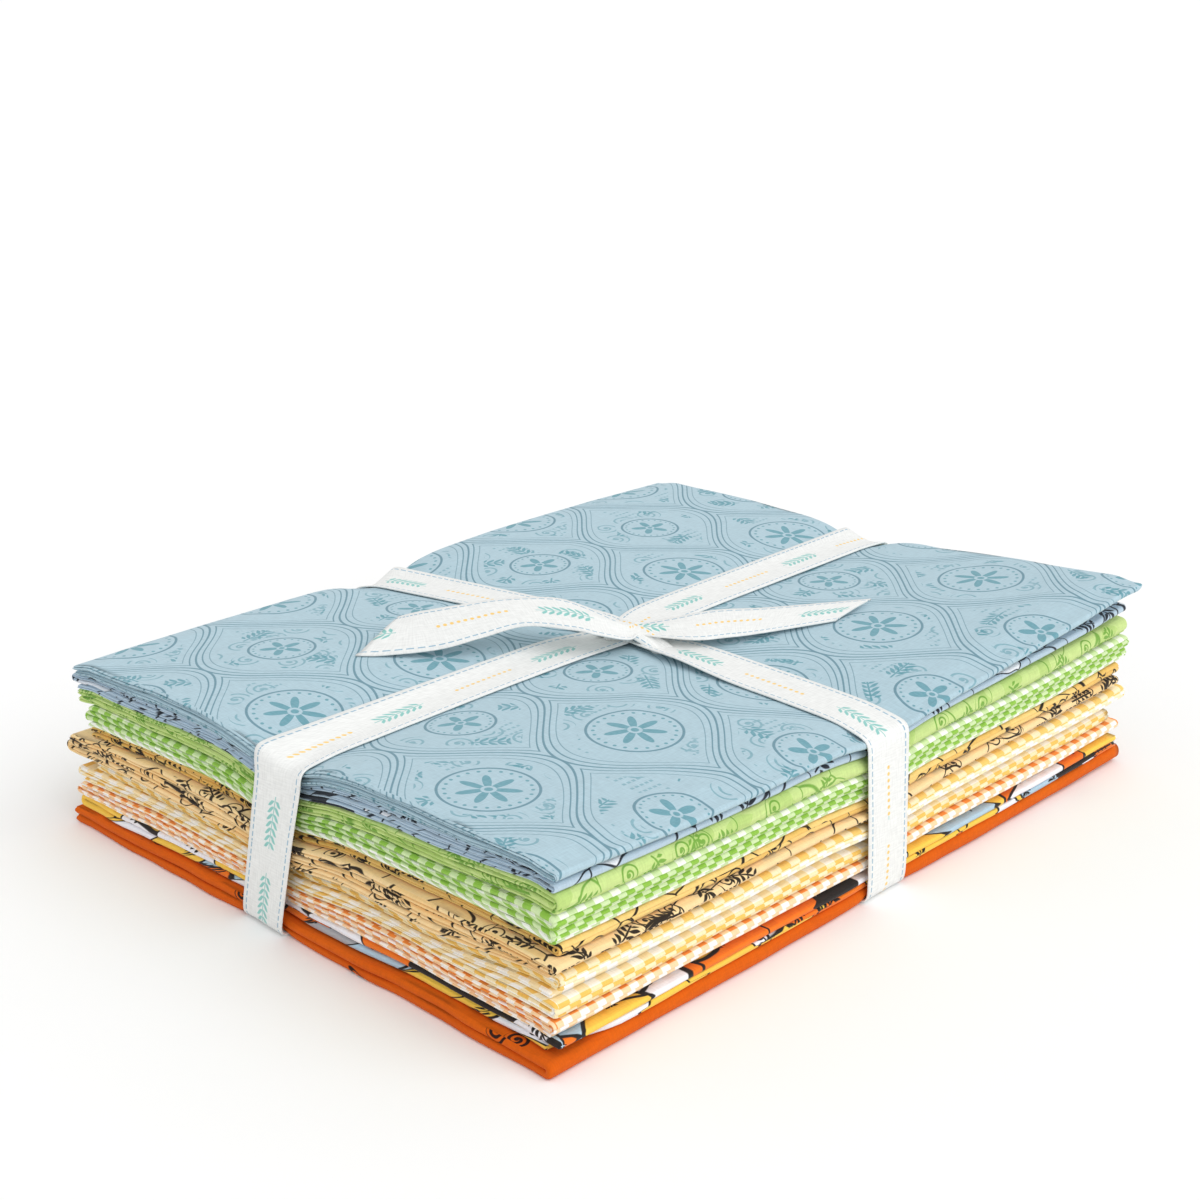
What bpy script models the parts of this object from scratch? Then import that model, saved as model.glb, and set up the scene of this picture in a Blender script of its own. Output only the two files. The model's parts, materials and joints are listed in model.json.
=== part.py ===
# A bundle of folded cotton cloths, piled up and tied crosswise with one ribbon.
# The tables below are in millimetres. The finished meshes are in metres, +Z up.
import math
from collections import namedtuple

import bmesh
import bpy
from mathutils import Vector

METRES = 0.001

# The pile, measured over the flat sides of its folded cloths
LENGTH = 276.0
WIDTH = 216.0
LAYER_GAP = 0.3
CLOTH_GAP = 0.42

# The ribbon
RIBBON_WIDTH = 18.7
RIBBON_THICK = 1.0
RIBBON_GAP = 0.5

# Heights are sampled on these lines, and run straight between them
LINES_X = (-138.0, -100.0, -52.0, -18.0, 4.0, 26.0, 62.0, 100.0, 138.0)
LINES_Y = (-108.0, -97.0, -62.0, -24.0, 3.0, 28.0, 64.0, 96.0, 108.0)

# How far each of those Y lines follows the front's shares of the pile, not the sides' shares
FRONT_SHARE = (1.0, 0.8, 0.0, 0.0, 0.0, 0.0, 0.0, 0.3, 0.4)

# The pile's top before the ribbon draws it in: a row for each Y, a column for each X
CROWN_X = (-138.0, -60.0, 0.0, 60.0, 138.0)
Crown = namedtuple("Crown", "y left left_mid middle right_mid right")
CROWN = (
    Crown(-108.0, 59.0, 56.4, 57.2, 56.6, 57.6),
    Crown(-97.0, 60.8, 58.2, 58.4, 58.3, 59.2),
    Crown(-55.0, 60.6, 59.2, 58.6, 59.0, 60.0),
    Crown(0.0, 60.0, 59.0, 59.0, 59.0, 59.5),
    Crown(55.0, 60.6, 59.2, 58.6, 59.4, 59.0),
    Crown(96.0, 59.0, 58.0, 57.8, 59.2, 58.2),
    Crown(108.0, 57.0, 56.4, 56.8, 58.2, 56.4),
)

# How far each pass of the ribbon draws the pile down, at its two ends and in the middle
Pinch = namedtuple("Pinch", "low_end middle high_end reach")
PINCH_ALONG_X = Pinch(5.0, 1.2, 3.2, 17.0)
PINCH_ALONG_Y = Pinch(2.4, 1.0, 4.4, 17.0)

# The right front corner, where the cloths fan open
FAN_FROM_X = 15.0
FAN_FROM_Y = -26.0
FAN_CURVE = 1.15

# One row for each cloth, from the top down. layers is the number of layers in its zigzag,
# first_fold the side that its top layer folds over at, and set_back how far its cut edges lie
# inside its folds. front_top and side_top are the height of its upper face as a share of the
# pile, at the front and elsewhere. lift is how far it rises at the fanned corner.
Cloth = namedtuple("Cloth", "name layers first_fold set_back front_top side_top lift colour")
CLOTHS = (
    Cloth("cloth_sky_print", 2, "front", 0.5, 1.000, 1.000, 9.2, (0.42, 0.60, 0.68)),
    Cloth("cloth_mist_print", 3, "back", 3.5, 0.953, 0.915, 5.4, (0.50, 0.63, 0.76)),
    Cloth("cloth_lime_print", 2, "front", 1.2, 0.880, 0.820, 3.0, (0.52, 0.72, 0.26)),
    Cloth("cloth_green_gingham", 4, "front", 2.5, 0.778, 0.735, 2.0, (0.58, 0.80, 0.36)),
    Cloth("cloth_gold_print", 2, "front", 1.0, 0.618, 0.627, 1.6, (0.83, 0.61, 0.27)),
    Cloth("cloth_tan_print", 3, "front", 2.6, 0.552, 0.556, 1.3, (0.87, 0.68, 0.42)),
    Cloth("cloth_yellow_gingham", 2, "front", 1.4, 0.479, 0.408, 1.2, (0.95, 0.80, 0.42)),
    Cloth("cloth_honey_gingham", 3, "back", 3.0, 0.387, 0.350, 1.1, (0.96, 0.76, 0.36)),
    Cloth("cloth_orange_gingham", 3, "front", 2.6, 0.260, 0.276, 1.0, (0.94, 0.56, 0.26)),
    Cloth("cloth_marigold_print", 2, "back", 5.0, 0.167, 0.190, 1.0, (0.92, 0.66, 0.26)),
    Cloth("cloth_orange_print", 2, "front", 0.6, 0.104, 0.116, 1.0, (0.90, 0.30, 0.04)),
)

# How far each cloth reaches past the pile's nominal sides: each side near both of its corners
Reach = namedtuple(
    "Reach",
    "left_front left_back right_front right_back front_left front_right back_left back_right",
)
REACHES = (
    Reach(1.0, 1.0, 4.4, 0.6, 0.8, 2.4, -1.2, 0.6),
    Reach(-0.5, -0.3, -0.8, -1.4, -1.2, -0.6, 2.4, -2.0),
    Reach(-1.0, -1.0, 0.0, -1.0, -0.2, 0.0, 0.6, 1.0),
    Reach(-0.4, -0.6, 1.8, 0.4, -0.6, 0.2, -3.0, -0.5),
    Reach(-2.6, -2.0, -1.4, -2.2, -1.4, -1.0, -3.4, -2.6),
    Reach(1.6, 0.4, -2.0, -1.0, 0.9, -0.4, 7.0, 0.4),
    Reach(-1.8, -1.8, 2.2, 0.8, 0.2, 0.4, -5.0, 1.6),
    Reach(-0.8, -0.8, -3.4, -2.0, -0.6, -1.8, 3.4, -1.4),
    Reach(0.2, 0.0, 0.8, 0.4, -0.4, -0.2, 4.4, 0.8),
    Reach(-1.4, -1.4, -0.6, -1.2, -1.6, -1.4, 3.8, -1.8),
    Reach(3.2, 0.8, 3.4, 1.6, 0.9, -0.3, 5.6, 1.2),
)

# A cloth's lower folds lie this much further in than its first one
FOLD_STAGGER = 0.7
FOLD_STEPS = 6
FOLD_DEPTH = 0.92

# Where the ribbon's two passes run: their middle lines, in plan
Pass = namedtuple("Pass", "top_low top_knot top_high under_low under_high")
PASS_ALONG_X = Pass(2.3, 0.4, 4.0, 12.3, 11.0)
PASS_ALONG_Y = Pass(0.6, 0.8, -12.9, 3.8, -5.0)
TOP_STOPS = 12
CROSSING_RISE = 0.7
ARC_STEP = math.radians(30.0)

KNOT_CENTRE = (-3.5, -7.0)
KNOT_RADII = (10.0, 7.6, 4.6)
KNOT_TURN = math.radians(-38.0)

# The ribbon's free ends, from the knot outwards: both edges, in plan and in height
Edge = namedtuple("Edge", "near_x near_y near_z far_x far_y far_z")
TAIL_LEFT = (
    Edge(-5.5, -11.5, 62.3, -1.5, -4.5, 64.0),
    Edge(-14.0, -16.0, 63.6, -7.5, -6.0, 67.0),
    Edge(-21.9, -12.7, 66.0, -13.4, 1.0, 70.0),
    Edge(-26.8, -5.6, 67.5, -18.9, 10.8, 72.0),
    Edge(-35.6, 6.9, 68.0, -31.6, 22.4, 72.0),
    Edge(-47.4, 15.2, 65.0, -42.1, 32.3, 70.0),
    Edge(-59.3, 23.7, 62.0, -50.0, 40.5, 68.0),
    Edge(-76.6, 41.2, 59.6, -54.2, 45.9, 66.0),
)
TAIL_RIGHT = (
    Edge(-4.0, -13.0, 61.8, 1.0, -5.0, 63.0),
    Edge(4.3, -28.2, 61.6, 12.0, -14.5, 63.8),
    Edge(14.5, -34.0, 61.2, 25.5, -20.5, 64.0),
    Edge(25.5, -38.7, 60.8, 41.5, -30.5, 63.2),
    Edge(51.4, -49.2, 60.8, 74.0, -46.5, 61.6),
)

RIBBON_COLOUR = (0.90, 0.91, 0.92)


def clamp(value, low=0.0, high=1.0):
    return max(low, min(high, value))


def eased(share):
    return 0.5 - 0.5 * math.cos(math.pi * clamp(share))


def mixed(first, second, share):
    return first * (1 - share) + second * share


def between(stations, value):
    """The station below the value, and how far along the value lies towards the next one."""
    index = 0
    while index < len(stations) - 2 and value >= stations[index + 1]:
        index += 1
    low, high = stations[index], stations[index + 1]
    return index, (value - low) / (high - low)


def crown_height(x, y):
    column, across = between(CROWN_X, x)
    row, along = between([line.y for line in CROWN], y)
    ends = []
    for line in (CROWN[row], CROWN[row + 1]):
        heights = line[1:]
        ends.append(mixed(heights[column], heights[column + 1], eased(across)))
    return mixed(ends[0], ends[1], eased(along))


def pinch_depth(pinch, along, half_run):
    end = pinch.low_end if along < 0 else pinch.high_end
    return mixed(pinch.middle, end, clamp(abs(along) / half_run) ** 2)


def middle_line(run, along, half_run):
    """The plan position of a ribbon pass on top of the pile, across its own run."""
    end = run.top_low if along < 0 else run.top_high
    return mixed(run.top_knot, end, clamp(abs(along) / half_run))


def drawn_down(x, y):
    from_x = (y - middle_line(PASS_ALONG_X, x, LENGTH / 2)) / PINCH_ALONG_X.reach
    from_y = (x - middle_line(PASS_ALONG_Y, y, WIDTH / 2)) / PINCH_ALONG_Y.reach
    first = pinch_depth(PINCH_ALONG_X, x, LENGTH / 2) * math.exp(-from_x**2)
    second = pinch_depth(PINCH_ALONG_Y, y, WIDTH / 2) * math.exp(-from_y**2)
    return max(first, second)


def fan_share(x, y):
    over_x = (x - FAN_FROM_X) / (LENGTH / 2 - FAN_FROM_X)
    over_y = (y - FAN_FROM_Y) / (-WIDTH / 2 - FAN_FROM_Y)
    return clamp(over_x) ** FAN_CURVE * clamp(over_y)


PILE_GRID = [[crown_height(x, y) - drawn_down(x, y) for y in LINES_Y] for x in LINES_X]
FAN_GRID = [[fan_share(x, y) for y in LINES_Y] for x in LINES_X]


def on_grid(grid, x, y):
    column, across = between(LINES_X, x)
    row, along = between(LINES_Y, y)
    low = mixed(grid[column][row], grid[column][row + 1], along)
    high = mixed(grid[column + 1][row], grid[column + 1][row + 1], along)
    return mixed(low, high, across)


def stack_share(cloth, y):
    row, along = between(LINES_Y, y)
    towards_front = mixed(FRONT_SHARE[row], FRONT_SHARE[row + 1], along)
    return mixed(cloth.side_top, cloth.front_top, towards_front)


def cloth_faces(index, x, y):
    """The heights of a cloth's lower and upper face."""
    cloth = CLOTHS[index]
    pile = on_grid(PILE_GRID, x, y)
    lift = cloth.lift * on_grid(FAN_GRID, x, y)
    top = pile * stack_share(cloth, y)
    if index + 1 == len(CLOTHS):
        return lift, top + lift
    return pile * stack_share(CLOTHS[index + 1], y) + CLOTH_GAP + lift, top + lift


def top_of_pile(x, y):
    return cloth_faces(0, x, y)[1]


def layer_faces(index, layer, x, y):
    """The heights of one layer's lower and upper face, layer 0 being the top one."""
    low, high = cloth_faces(index, x, y)
    pitch = (high - low + LAYER_GAP) / CLOTHS[index].layers
    upper = high - layer * pitch
    return upper - (pitch - LAYER_GAP), upper


def left_end(index, y):
    reach = REACHES[index]
    return -LENGTH / 2 - mixed(reach.left_front, reach.left_back, y / WIDTH + 0.5)


def right_end(index, y):
    reach = REACHES[index]
    return LENGTH / 2 + mixed(reach.right_front, reach.right_back, y / WIDTH + 0.5)


def front_end(index, x):
    reach = REACHES[index]
    return -WIDTH / 2 - mixed(reach.front_left, reach.front_right, x / LENGTH + 0.5)


def back_end(index, x):
    reach = REACHES[index]
    return WIDTH / 2 + mixed(reach.back_left, reach.back_right, x / LENGTH + 0.5)


def goes_to_front(cloth, layer):
    return (cloth.first_fold == "front") == (layer % 2 == 0)


def fold_half_height(index, upper_layer, x, y):
    high = layer_faces(index, upper_layer, x, y)[1]
    low = layer_faces(index, upper_layer + 1, x, y)[0]
    return (high - low) / 2


def layer_ends(index, layer, x):
    """The Y of a layer's flat stretch at both ends: up to a fold, or to a cut edge."""
    cloth = CLOTHS[index]
    ends = []
    for side in (-1, 1):
        starts_here = goes_to_front(cloth, layer) == (side > 0)
        is_cut = layer == 0 if starts_here else layer + 1 == cloth.layers
        nominal = front_end(index, x) if side < 0 else back_end(index, x)
        if is_cut:
            inset = cloth.set_back
        else:
            upper_layer = layer - 1 if starts_here else layer
            inset = fold_half_height(index, upper_layer, x, side * WIDTH / 2) * FOLD_DEPTH
            inset += FOLD_STAGGER * (upper_layer // 2)
        ends.append(nominal - side * inset)
    return ends


def section_at(index, x_of):
    """The cloth's section from its first cut edge to its last, as pairs of points on both faces.

    x_of gives the X for a Y, so that a section can follow the cloth's slanted side. The first
    point of a pair is on the face that starts as the upper one.
    """
    cloth = CLOTHS[index]
    pairs = []
    for layer in range(cloth.layers):
        start, end = layer_ends(index, layer, x_of(0.0))
        stops = [start, *LINES_Y[1:-1], end]
        to_front = goes_to_front(cloth, layer)
        if to_front:
            stops.reverse()
        for y in stops:
            low, high = layer_faces(index, layer, x_of(y), y)
            upper, lower = (x_of(y), y, high), (x_of(y), y, low)
            pairs.append((upper, lower) if layer % 2 == 0 else (lower, upper))
        if layer + 1 < cloth.layers:
            pairs += fold_pairs(index, layer, x_of, stops[-1], -1 if to_front else 1)
    return pairs


def fold_pairs(index, layer, x_of, y, outward):
    """The points round a fold that joins this layer to the one below it."""
    depth = fold_half_height(index, layer, x_of(0.0), outward * WIDTH / 2) * FOLD_DEPTH
    inside_low = layer_faces(index, layer, x_of(y), y)[0]
    inside_high = layer_faces(index, layer + 1, x_of(y), y)[1]
    crease_y = y + outward * LAYER_GAP / 2
    crease = (x_of(crease_y), crease_y, (inside_low + inside_high) / 2)
    pairs = []
    for step in range(1, FOLD_STEPS):
        turn = math.pi * step / FOLD_STEPS
        at_y = y + outward * depth * math.sin(turn)
        high = layer_faces(index, layer, x_of(at_y), at_y)[1]
        low = layer_faces(index, layer + 1, x_of(at_y), at_y)[0]
        outer = (x_of(at_y), at_y, (high + low) / 2 + (high - low) / 2 * math.cos(turn))
        if 2 * step < FOLD_STEPS:
            inner = (x_of(y), y, inside_low)
        elif 2 * step > FOLD_STEPS:
            inner = (x_of(y), y, inside_high)
        else:
            inner = crease
        pairs.append((outer, inner) if layer % 2 == 0 else (inner, outer))
    return pairs


def new_material(name, colour, roughness):
    material = bpy.data.materials.new(name)
    material.use_nodes = True
    shader = material.node_tree.nodes["Principled BSDF"]
    shader.inputs["Base Color"].default_value = (*colour, 1.0)
    shader.inputs["Roughness"].default_value = roughness
    shader.inputs["Metallic"].default_value = 0.0
    return material


def new_object(name, points, faces, colour, roughness=0.9):
    """A mesh object in metres, with its faces turned outwards."""
    mesh = bpy.data.meshes.new(name)
    mesh.from_pydata([Vector(point) * METRES for point in points], [], faces)
    turned = bmesh.new()
    turned.from_mesh(mesh)
    bmesh.ops.recalc_face_normals(turned, faces=turned.faces)
    turned.to_mesh(mesh)
    turned.free()
    mesh.shade_smooth()
    mesh.set_sharp_from_angle(angle=math.radians(40.0))
    made = bpy.data.objects.new(name, mesh)
    bpy.context.scene.collection.objects.link(made)
    made.data.materials.append(new_material(name, colour, roughness))
    return made


class Shell:
    """Points and faces of a closed mesh, where equal points are kept once."""

    def __init__(self):
        self.points = []
        self.index_of = {}
        self.faces = []

    def point(self, place):
        key = tuple(round(value, 6) for value in place)
        if key not in self.index_of:
            self.index_of[key] = len(self.points)
            self.points.append(place)
        return self.index_of[key]

    def face(self, *places):
        corners = []
        for index in (self.point(place) for place in places):
            if index not in corners:
                corners.append(index)
        if len(corners) > 2:
            self.faces.append(corners)

    def split_quad(self, a, b, c, d, cut_from_a):
        """Two triangles: nested layers are cut along the same diagonal, so their gap holds."""
        if cut_from_a:
            self.face(a, b, c)
            self.face(a, c, d)
        else:
            self.face(a, b, d)
            self.face(b, c, d)


def make_cloth(index):
    """One cloth: its zigzag section, lofted from side to side through every sampling line."""
    cloth = CLOTHS[index]
    inner_lines = [x for x in LINES_X if abs(x) < LENGTH / 2 - 5.0]
    sections = [section_at(index, lambda y: left_end(index, y))]
    sections += [section_at(index, lambda y, at=x: at) for x in inner_lines]
    sections.append(section_at(index, lambda y: right_end(index, y)))
    shell = Shell()
    for section, following in zip(sections, sections[1:]):
        for side in (0, 1):
            for pair, next_pair, far, next_far in zip(section, section[1:], following, following[1:]):
                shell.split_quad(
                    pair[side], next_pair[side], next_far[side], far[side],
                    cut_from_a=next_pair[side][1] > pair[side][1],
                )
        for pair, far in ((section[0], following[0]), (section[-1], following[-1])):
            shell.face(pair[0], pair[1], far[1], far[0])
    for section in (sections[0], sections[-1]):
        for pair, next_pair in zip(section, section[1:]):
            shell.face(pair[0], next_pair[0], next_pair[1], pair[1])
    return new_object(cloth.name, shell.points, shell.faces, cloth.colour)


def convex_outline(points):
    """The corners of the outline that a taut band takes round these points, anticlockwise."""
    ordered = sorted(set(points))
    halves = []
    for run in (ordered, ordered[::-1]):
        half = []
        for point in run:
            while len(half) > 1 and turn_of(half[-2], half[-1], point) <= 1e-9:
                half.pop()
            half.append(point)
        halves += half[:-1]
    return halves


def turn_of(a, b, c):
    return (b[0] - a[0]) * (c[1] - b[1]) - (b[1] - a[1]) * (c[0] - b[0])


def taut_route(points):
    """Where a band lies round the points: (place, outward direction), with an arc at each corner."""
    outline = convex_outline(points)
    route = []
    for before, here, after in zip(outline[-1:] + outline[:-1], outline, outline[1:] + outline[:1]):
        first = math.atan2(before[0] - here[0], here[1] - before[1])
        last = math.atan2(here[0] - after[0], after[1] - here[1])
        turn = (last - first) % (2 * math.pi)
        steps = max(1, math.ceil(turn / ARC_STEP))
        for step in range(steps + 1):
            angle = first + turn * step / steps
            route.append((here, (math.cos(angle), math.sin(angle))))
    return route


def make_ring(name, points, run, half_run, along_x, thick):
    """A closed band of ribbon, drawn taut round the points of the pile's outline."""
    half = RIBBON_WIDTH / 2
    frames = []
    for (along, height), outward in taut_route(points):
        top = middle_line(run, along, half_run)
        under = mixed(run.under_low, run.under_high, along / half_run / 2 + 0.5)
        across = mixed(under, top, clamp(height / 50.0))
        corners = []
        for out, side in ((0.0, -half), (0.0, half), (thick, half), (thick, -half)):
            here = along + outward[0] * (RIBBON_GAP + out)
            up = height + outward[1] * (RIBBON_GAP + out)
            corners.append((here, across + side, up) if along_x else (across + side, here, up))
        frames.append(corners)
    shell = Shell()
    for frame, following in zip(frames, frames[1:] + frames[:1]):
        for edge in range(4):
            other = (edge + 1) % 4
            shell.split_quad(frame[edge], frame[other], following[other], following[edge], True)
    return new_object(name, shell.points, shell.faces, RIBBON_COLOUR, 0.5)


def ribbon_along_x():
    """The pass round the pile's left and right sides."""
    half = RIBBON_WIDTH / 2
    low = RIBBON_THICK + RIBBON_GAP
    points = []
    for index in range(len(CLOTHS)):
        for end, side_y in ((left_end, PASS_ALONG_X.top_low), (right_end, PASS_ALONG_X.top_high)):
            for y in (side_y - half, side_y, side_y + half, side_y + 2 * half):
                x = end(index, y)
                faces = cloth_faces(index, x, y)
                points += [(x, max(faces[0], low)), (x, faces[1])]
    for stop in range(1, TOP_STOPS):
        x = mixed(-LENGTH / 2, LENGTH / 2, stop / TOP_STOPS)
        middle = middle_line(PASS_ALONG_X, x, LENGTH / 2)
        points.append((x, max(top_of_pile(x, middle + side * half) for side in (-1, 0, 1))))
    return make_ring("ribbon", points, PASS_ALONG_X, LENGTH / 2, True, RIBBON_THICK)


def ribbon_along_y():
    """The pass round the pile's front and back, which lies over the other one."""
    half = RIBBON_WIDTH / 2
    low = RIBBON_THICK + RIBBON_GAP + 0.1
    points = [(KNOT_CENTRE[1], top_of_pile(*KNOT_CENTRE) + CROSSING_RISE)]
    for index in range(len(CLOTHS)):
        for end, side_x in ((front_end, PASS_ALONG_Y.top_low), (back_end, PASS_ALONG_Y.top_high)):
            for x in (side_x - half, side_x, side_x + half, side_x + 2 * half):
                y = end(index, x)
                faces = cloth_faces(index, x, y)
                points += [(y, max(faces[0], low)), (y, faces[1])]
    for stop in range(1, TOP_STOPS):
        y = mixed(-WIDTH / 2, WIDTH / 2, stop / TOP_STOPS)
        middle = middle_line(PASS_ALONG_Y, y, WIDTH / 2)
        points.append((y, max(top_of_pile(middle + side * half, y) for side in (-1, 0, 1))))
    return make_ring("ribbon_across", points, PASS_ALONG_Y, WIDTH / 2, False, RIBBON_THICK - 0.12)


def make_knot():
    """The flat knot: a round lump over the crossing, level underneath."""
    x, y = KNOT_CENTRE
    seat = top_of_pile(x, y) + RIBBON_GAP + CROSSING_RISE + 0.2
    knot = bmesh.new()
    bmesh.ops.create_uvsphere(knot, u_segments=16, v_segments=8, radius=1.0)
    for vertex in knot.verts:
        turned_x = vertex.co.x * KNOT_RADII[0]
        turned_y = vertex.co.y * KNOT_RADII[1]
        height = max(vertex.co.z, -0.45) * KNOT_RADII[2]
        vertex.co = Vector((
            x + turned_x * math.cos(KNOT_TURN) - turned_y * math.sin(KNOT_TURN),
            y + turned_x * math.sin(KNOT_TURN) + turned_y * math.cos(KNOT_TURN),
            seat + 0.45 * KNOT_RADII[2] + height,
        ))
    knot.verts.index_update()
    points = [tuple(vertex.co) for vertex in knot.verts]
    faces = [[vertex.index for vertex in face.verts] for face in knot.faces]
    knot.free()
    return new_object("ribbon_knot", points, faces, RIBBON_COLOUR, 0.5)


def make_tail(name, table):
    """A free end of the ribbon: a strip between its two edges, cut at a slant."""
    frames = []
    for row in table:
        lower = []
        for x, y, z in (row[:3], row[3:]):
            lower.append((x, y, max(z - RIBBON_THICK / 2, top_of_pile(x, y) + RIBBON_GAP)))
        upper = [(x, y, z + RIBBON_THICK) for x, y, z in reversed(lower)]
        frames.append(lower + upper)
    shell = Shell()
    for frame, following in zip(frames, frames[1:]):
        for edge in range(4):
            other = (edge + 1) % 4
            shell.split_quad(frame[edge], frame[other], following[other], following[edge], True)
    shell.face(*frames[0])
    shell.face(*frames[-1])
    return new_object(name, shell.points, shell.faces, RIBBON_COLOUR, 0.5)


def join_to(base, others):
    for other in others:
        joined = base.modifiers.new("join " + other.name, "BOOLEAN")
        joined.operation = "UNION"
        joined.solver = "EXACT"
        joined.object = other
        other.hide_render = True
        other.display_type = "WIRE"


def cut_channel(cloth, name, run, half_run, along_x):
    """A shallow channel under the lowest cloth, where a ribbon pass sinks in."""
    half = RIBBON_WIDTH / 2 + RIBBON_GAP
    lean = (run.under_high - run.under_low) / half_run / 2
    middle = (run.under_high + run.under_low) / 2
    corners = []
    for along, side in ((-1, -half), (1, -half), (1, half), (-1, half)):
        here = along * (half_run + 20.0)
        across = middle + lean * here + side
        corners.append((here, across) if along_x else (across, here))
    shell = Shell()
    low = [(x, y, -1.0) for x, y in corners]
    high = [(x, y, RIBBON_THICK + RIBBON_GAP) for x, y in corners]
    shell.face(*low)
    shell.face(*high)
    for edge in range(4):
        other = (edge + 1) % 4
        shell.face(low[edge], low[other], high[other], high[edge])
    cutter = new_object(name, shell.points, shell.faces, RIBBON_COLOUR)
    cutter.hide_render = True
    cutter.display_type = "WIRE"
    cut = cloth.modifiers.new(name, "BOOLEAN")
    cut.operation = "DIFFERENCE"
    cut.solver = "EXACT"
    cut.object = cutter


def centre_on_origin(objects):
    """Moves the whole bundle so that the origin is the middle of its footprint."""
    bpy.context.view_layer.update()
    graph = bpy.context.evaluated_depsgraph_get()
    corners = [
        made.matrix_world @ Vector(corner)
        for made in objects
        if not made.hide_render
        for corner in made.evaluated_get(graph).bound_box
    ]
    for axis in (0, 1):
        middle = (min(c[axis] for c in corners) + max(c[axis] for c in corners)) / 2
        for made in objects:
            made.location[axis] -= middle


def main():
    for old in list(bpy.data.objects):
        bpy.data.objects.remove(old, do_unlink=True)
    cloths = [make_cloth(index) for index in range(len(CLOTHS))]
    cut_channel(cloths[-1], "channel_along_x", PASS_ALONG_X, LENGTH / 2, True)
    cut_channel(cloths[-1], "channel_along_y", PASS_ALONG_Y, WIDTH / 2, False)
    ribbon = ribbon_along_x()
    others = [
        ribbon_along_y(),
        make_knot(),
        make_tail("ribbon_tail_left", TAIL_LEFT),
        make_tail("ribbon_tail_right", TAIL_RIGHT),
    ]
    join_to(ribbon, others)
    centre_on_origin(list(bpy.context.scene.collection.objects))


main()
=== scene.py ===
# Looks of a bundle of folded quilting cottons, tied crosswise with one ribbon.
# Shapes are worked out in millimetres, in the pile's own plan, and become metres when a mesh is made.
import json
import math

import bpy
import numpy as np
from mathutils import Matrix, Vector

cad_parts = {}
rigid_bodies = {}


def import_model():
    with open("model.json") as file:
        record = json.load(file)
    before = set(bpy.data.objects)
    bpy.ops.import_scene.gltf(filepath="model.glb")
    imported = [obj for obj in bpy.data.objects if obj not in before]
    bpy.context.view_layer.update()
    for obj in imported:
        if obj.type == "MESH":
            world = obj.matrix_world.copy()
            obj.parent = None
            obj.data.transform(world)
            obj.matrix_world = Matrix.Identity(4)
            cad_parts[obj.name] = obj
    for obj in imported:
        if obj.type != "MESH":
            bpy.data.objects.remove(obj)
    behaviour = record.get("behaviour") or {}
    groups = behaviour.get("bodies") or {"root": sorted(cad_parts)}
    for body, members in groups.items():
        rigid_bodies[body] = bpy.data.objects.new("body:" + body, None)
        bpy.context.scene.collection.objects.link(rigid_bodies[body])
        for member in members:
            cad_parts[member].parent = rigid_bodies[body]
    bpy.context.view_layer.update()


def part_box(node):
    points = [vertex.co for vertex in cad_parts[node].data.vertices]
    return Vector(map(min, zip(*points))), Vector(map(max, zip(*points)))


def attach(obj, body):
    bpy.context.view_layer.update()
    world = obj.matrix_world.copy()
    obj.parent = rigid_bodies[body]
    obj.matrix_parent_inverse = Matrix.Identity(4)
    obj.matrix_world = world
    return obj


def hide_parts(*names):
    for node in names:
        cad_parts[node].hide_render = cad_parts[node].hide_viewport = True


for old in list(bpy.data.objects):
    bpy.data.objects.remove(old, do_unlink=True)
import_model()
scene = bpy.context.scene
toMetres = 0.001


def linked(name, data):
    made = bpy.data.objects.new(name, data)
    scene.collection.objects.link(made)
    return made


def direction(setup):
    # from the pile towards the camera or the light
    azimuth, elevation = math.radians(setup["azimuth"]), math.radians(setup["elevation"])
    level = math.cos(elevation)
    return Vector((math.sin(azimuth) * level, -math.cos(azimuth) * level, math.sin(elevation)))


def aimed(made, back):
    made.rotation_mode = "QUATERNION"
    made.rotation_quaternion = (-back).to_track_quat("-Z", "Y")


# Camera: the photograph's own view of the front corner
cameraSetup = dict(
    place=(-0.48189, -0.45437, 0.30843),
    azimuth=-46.265,
    elevation=19.912,
    lens=64.97,
    sensor=36.0,
    near=0.01,
    far=100.0,
)


def makeCamera(setup):
    data = bpy.data.cameras.new("camera")
    data.lens, data.sensor_width = setup["lens"], setup["sensor"]
    data.clip_start, data.clip_end = setup["near"], setup["far"]
    camera = linked("camera", data)
    camera.location = setup["place"]
    aimed(camera, direction(setup))
    scene.camera = camera


makeCamera(cameraSetup)
print("camera made")


# The pile that all the cloths share
pile = dict(
    length=276.0,
    width=216.0,
    layerGap=0.3,
    clothGap=0.42,
    pinchReach=17.0,
    fanFromX=15.0,
    fanFromY=-26.0,
    fanCurve=1.15,
    fanEase=0.08,
    middleHeight=28.0,
    topHeight=50.0,  # where the ribbon's side stretches end, for blending from its foot to its top
    waves=(  # slow waves through the whole pile, the first along x and the second along y
        dict(high=0.28, run=17.0, bend=0.9, tall=5.5, start=0.0, drift=70.0),
        dict(high=0.20, run=15.0, bend=1.1, tall=7.0, start=1.0, drift=60.0),
    ),
)
crown = dict(  # the top of the pile before the ribbon draws it in: a row of heights for each y
    x=(-138.0, -60.0, 0.0, 60.0, 138.0),
    y=(-108.0, -97.0, -55.0, 0.0, 55.0, 96.0, 108.0),
    height=(
        (59.0, 56.4, 57.2, 56.6, 57.6),
        (60.8, 58.2, 58.4, 58.3, 59.2),
        (60.6, 59.2, 58.6, 59.0, 60.0),
        (60.0, 59.0, 59.0, 59.0, 59.5),
        (60.6, 59.2, 58.6, 59.4, 59.0),
        (59.0, 58.0, 57.8, 59.2, 58.2),
        (57.0, 56.4, 56.8, 58.2, 56.4),
    ),
)
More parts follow.
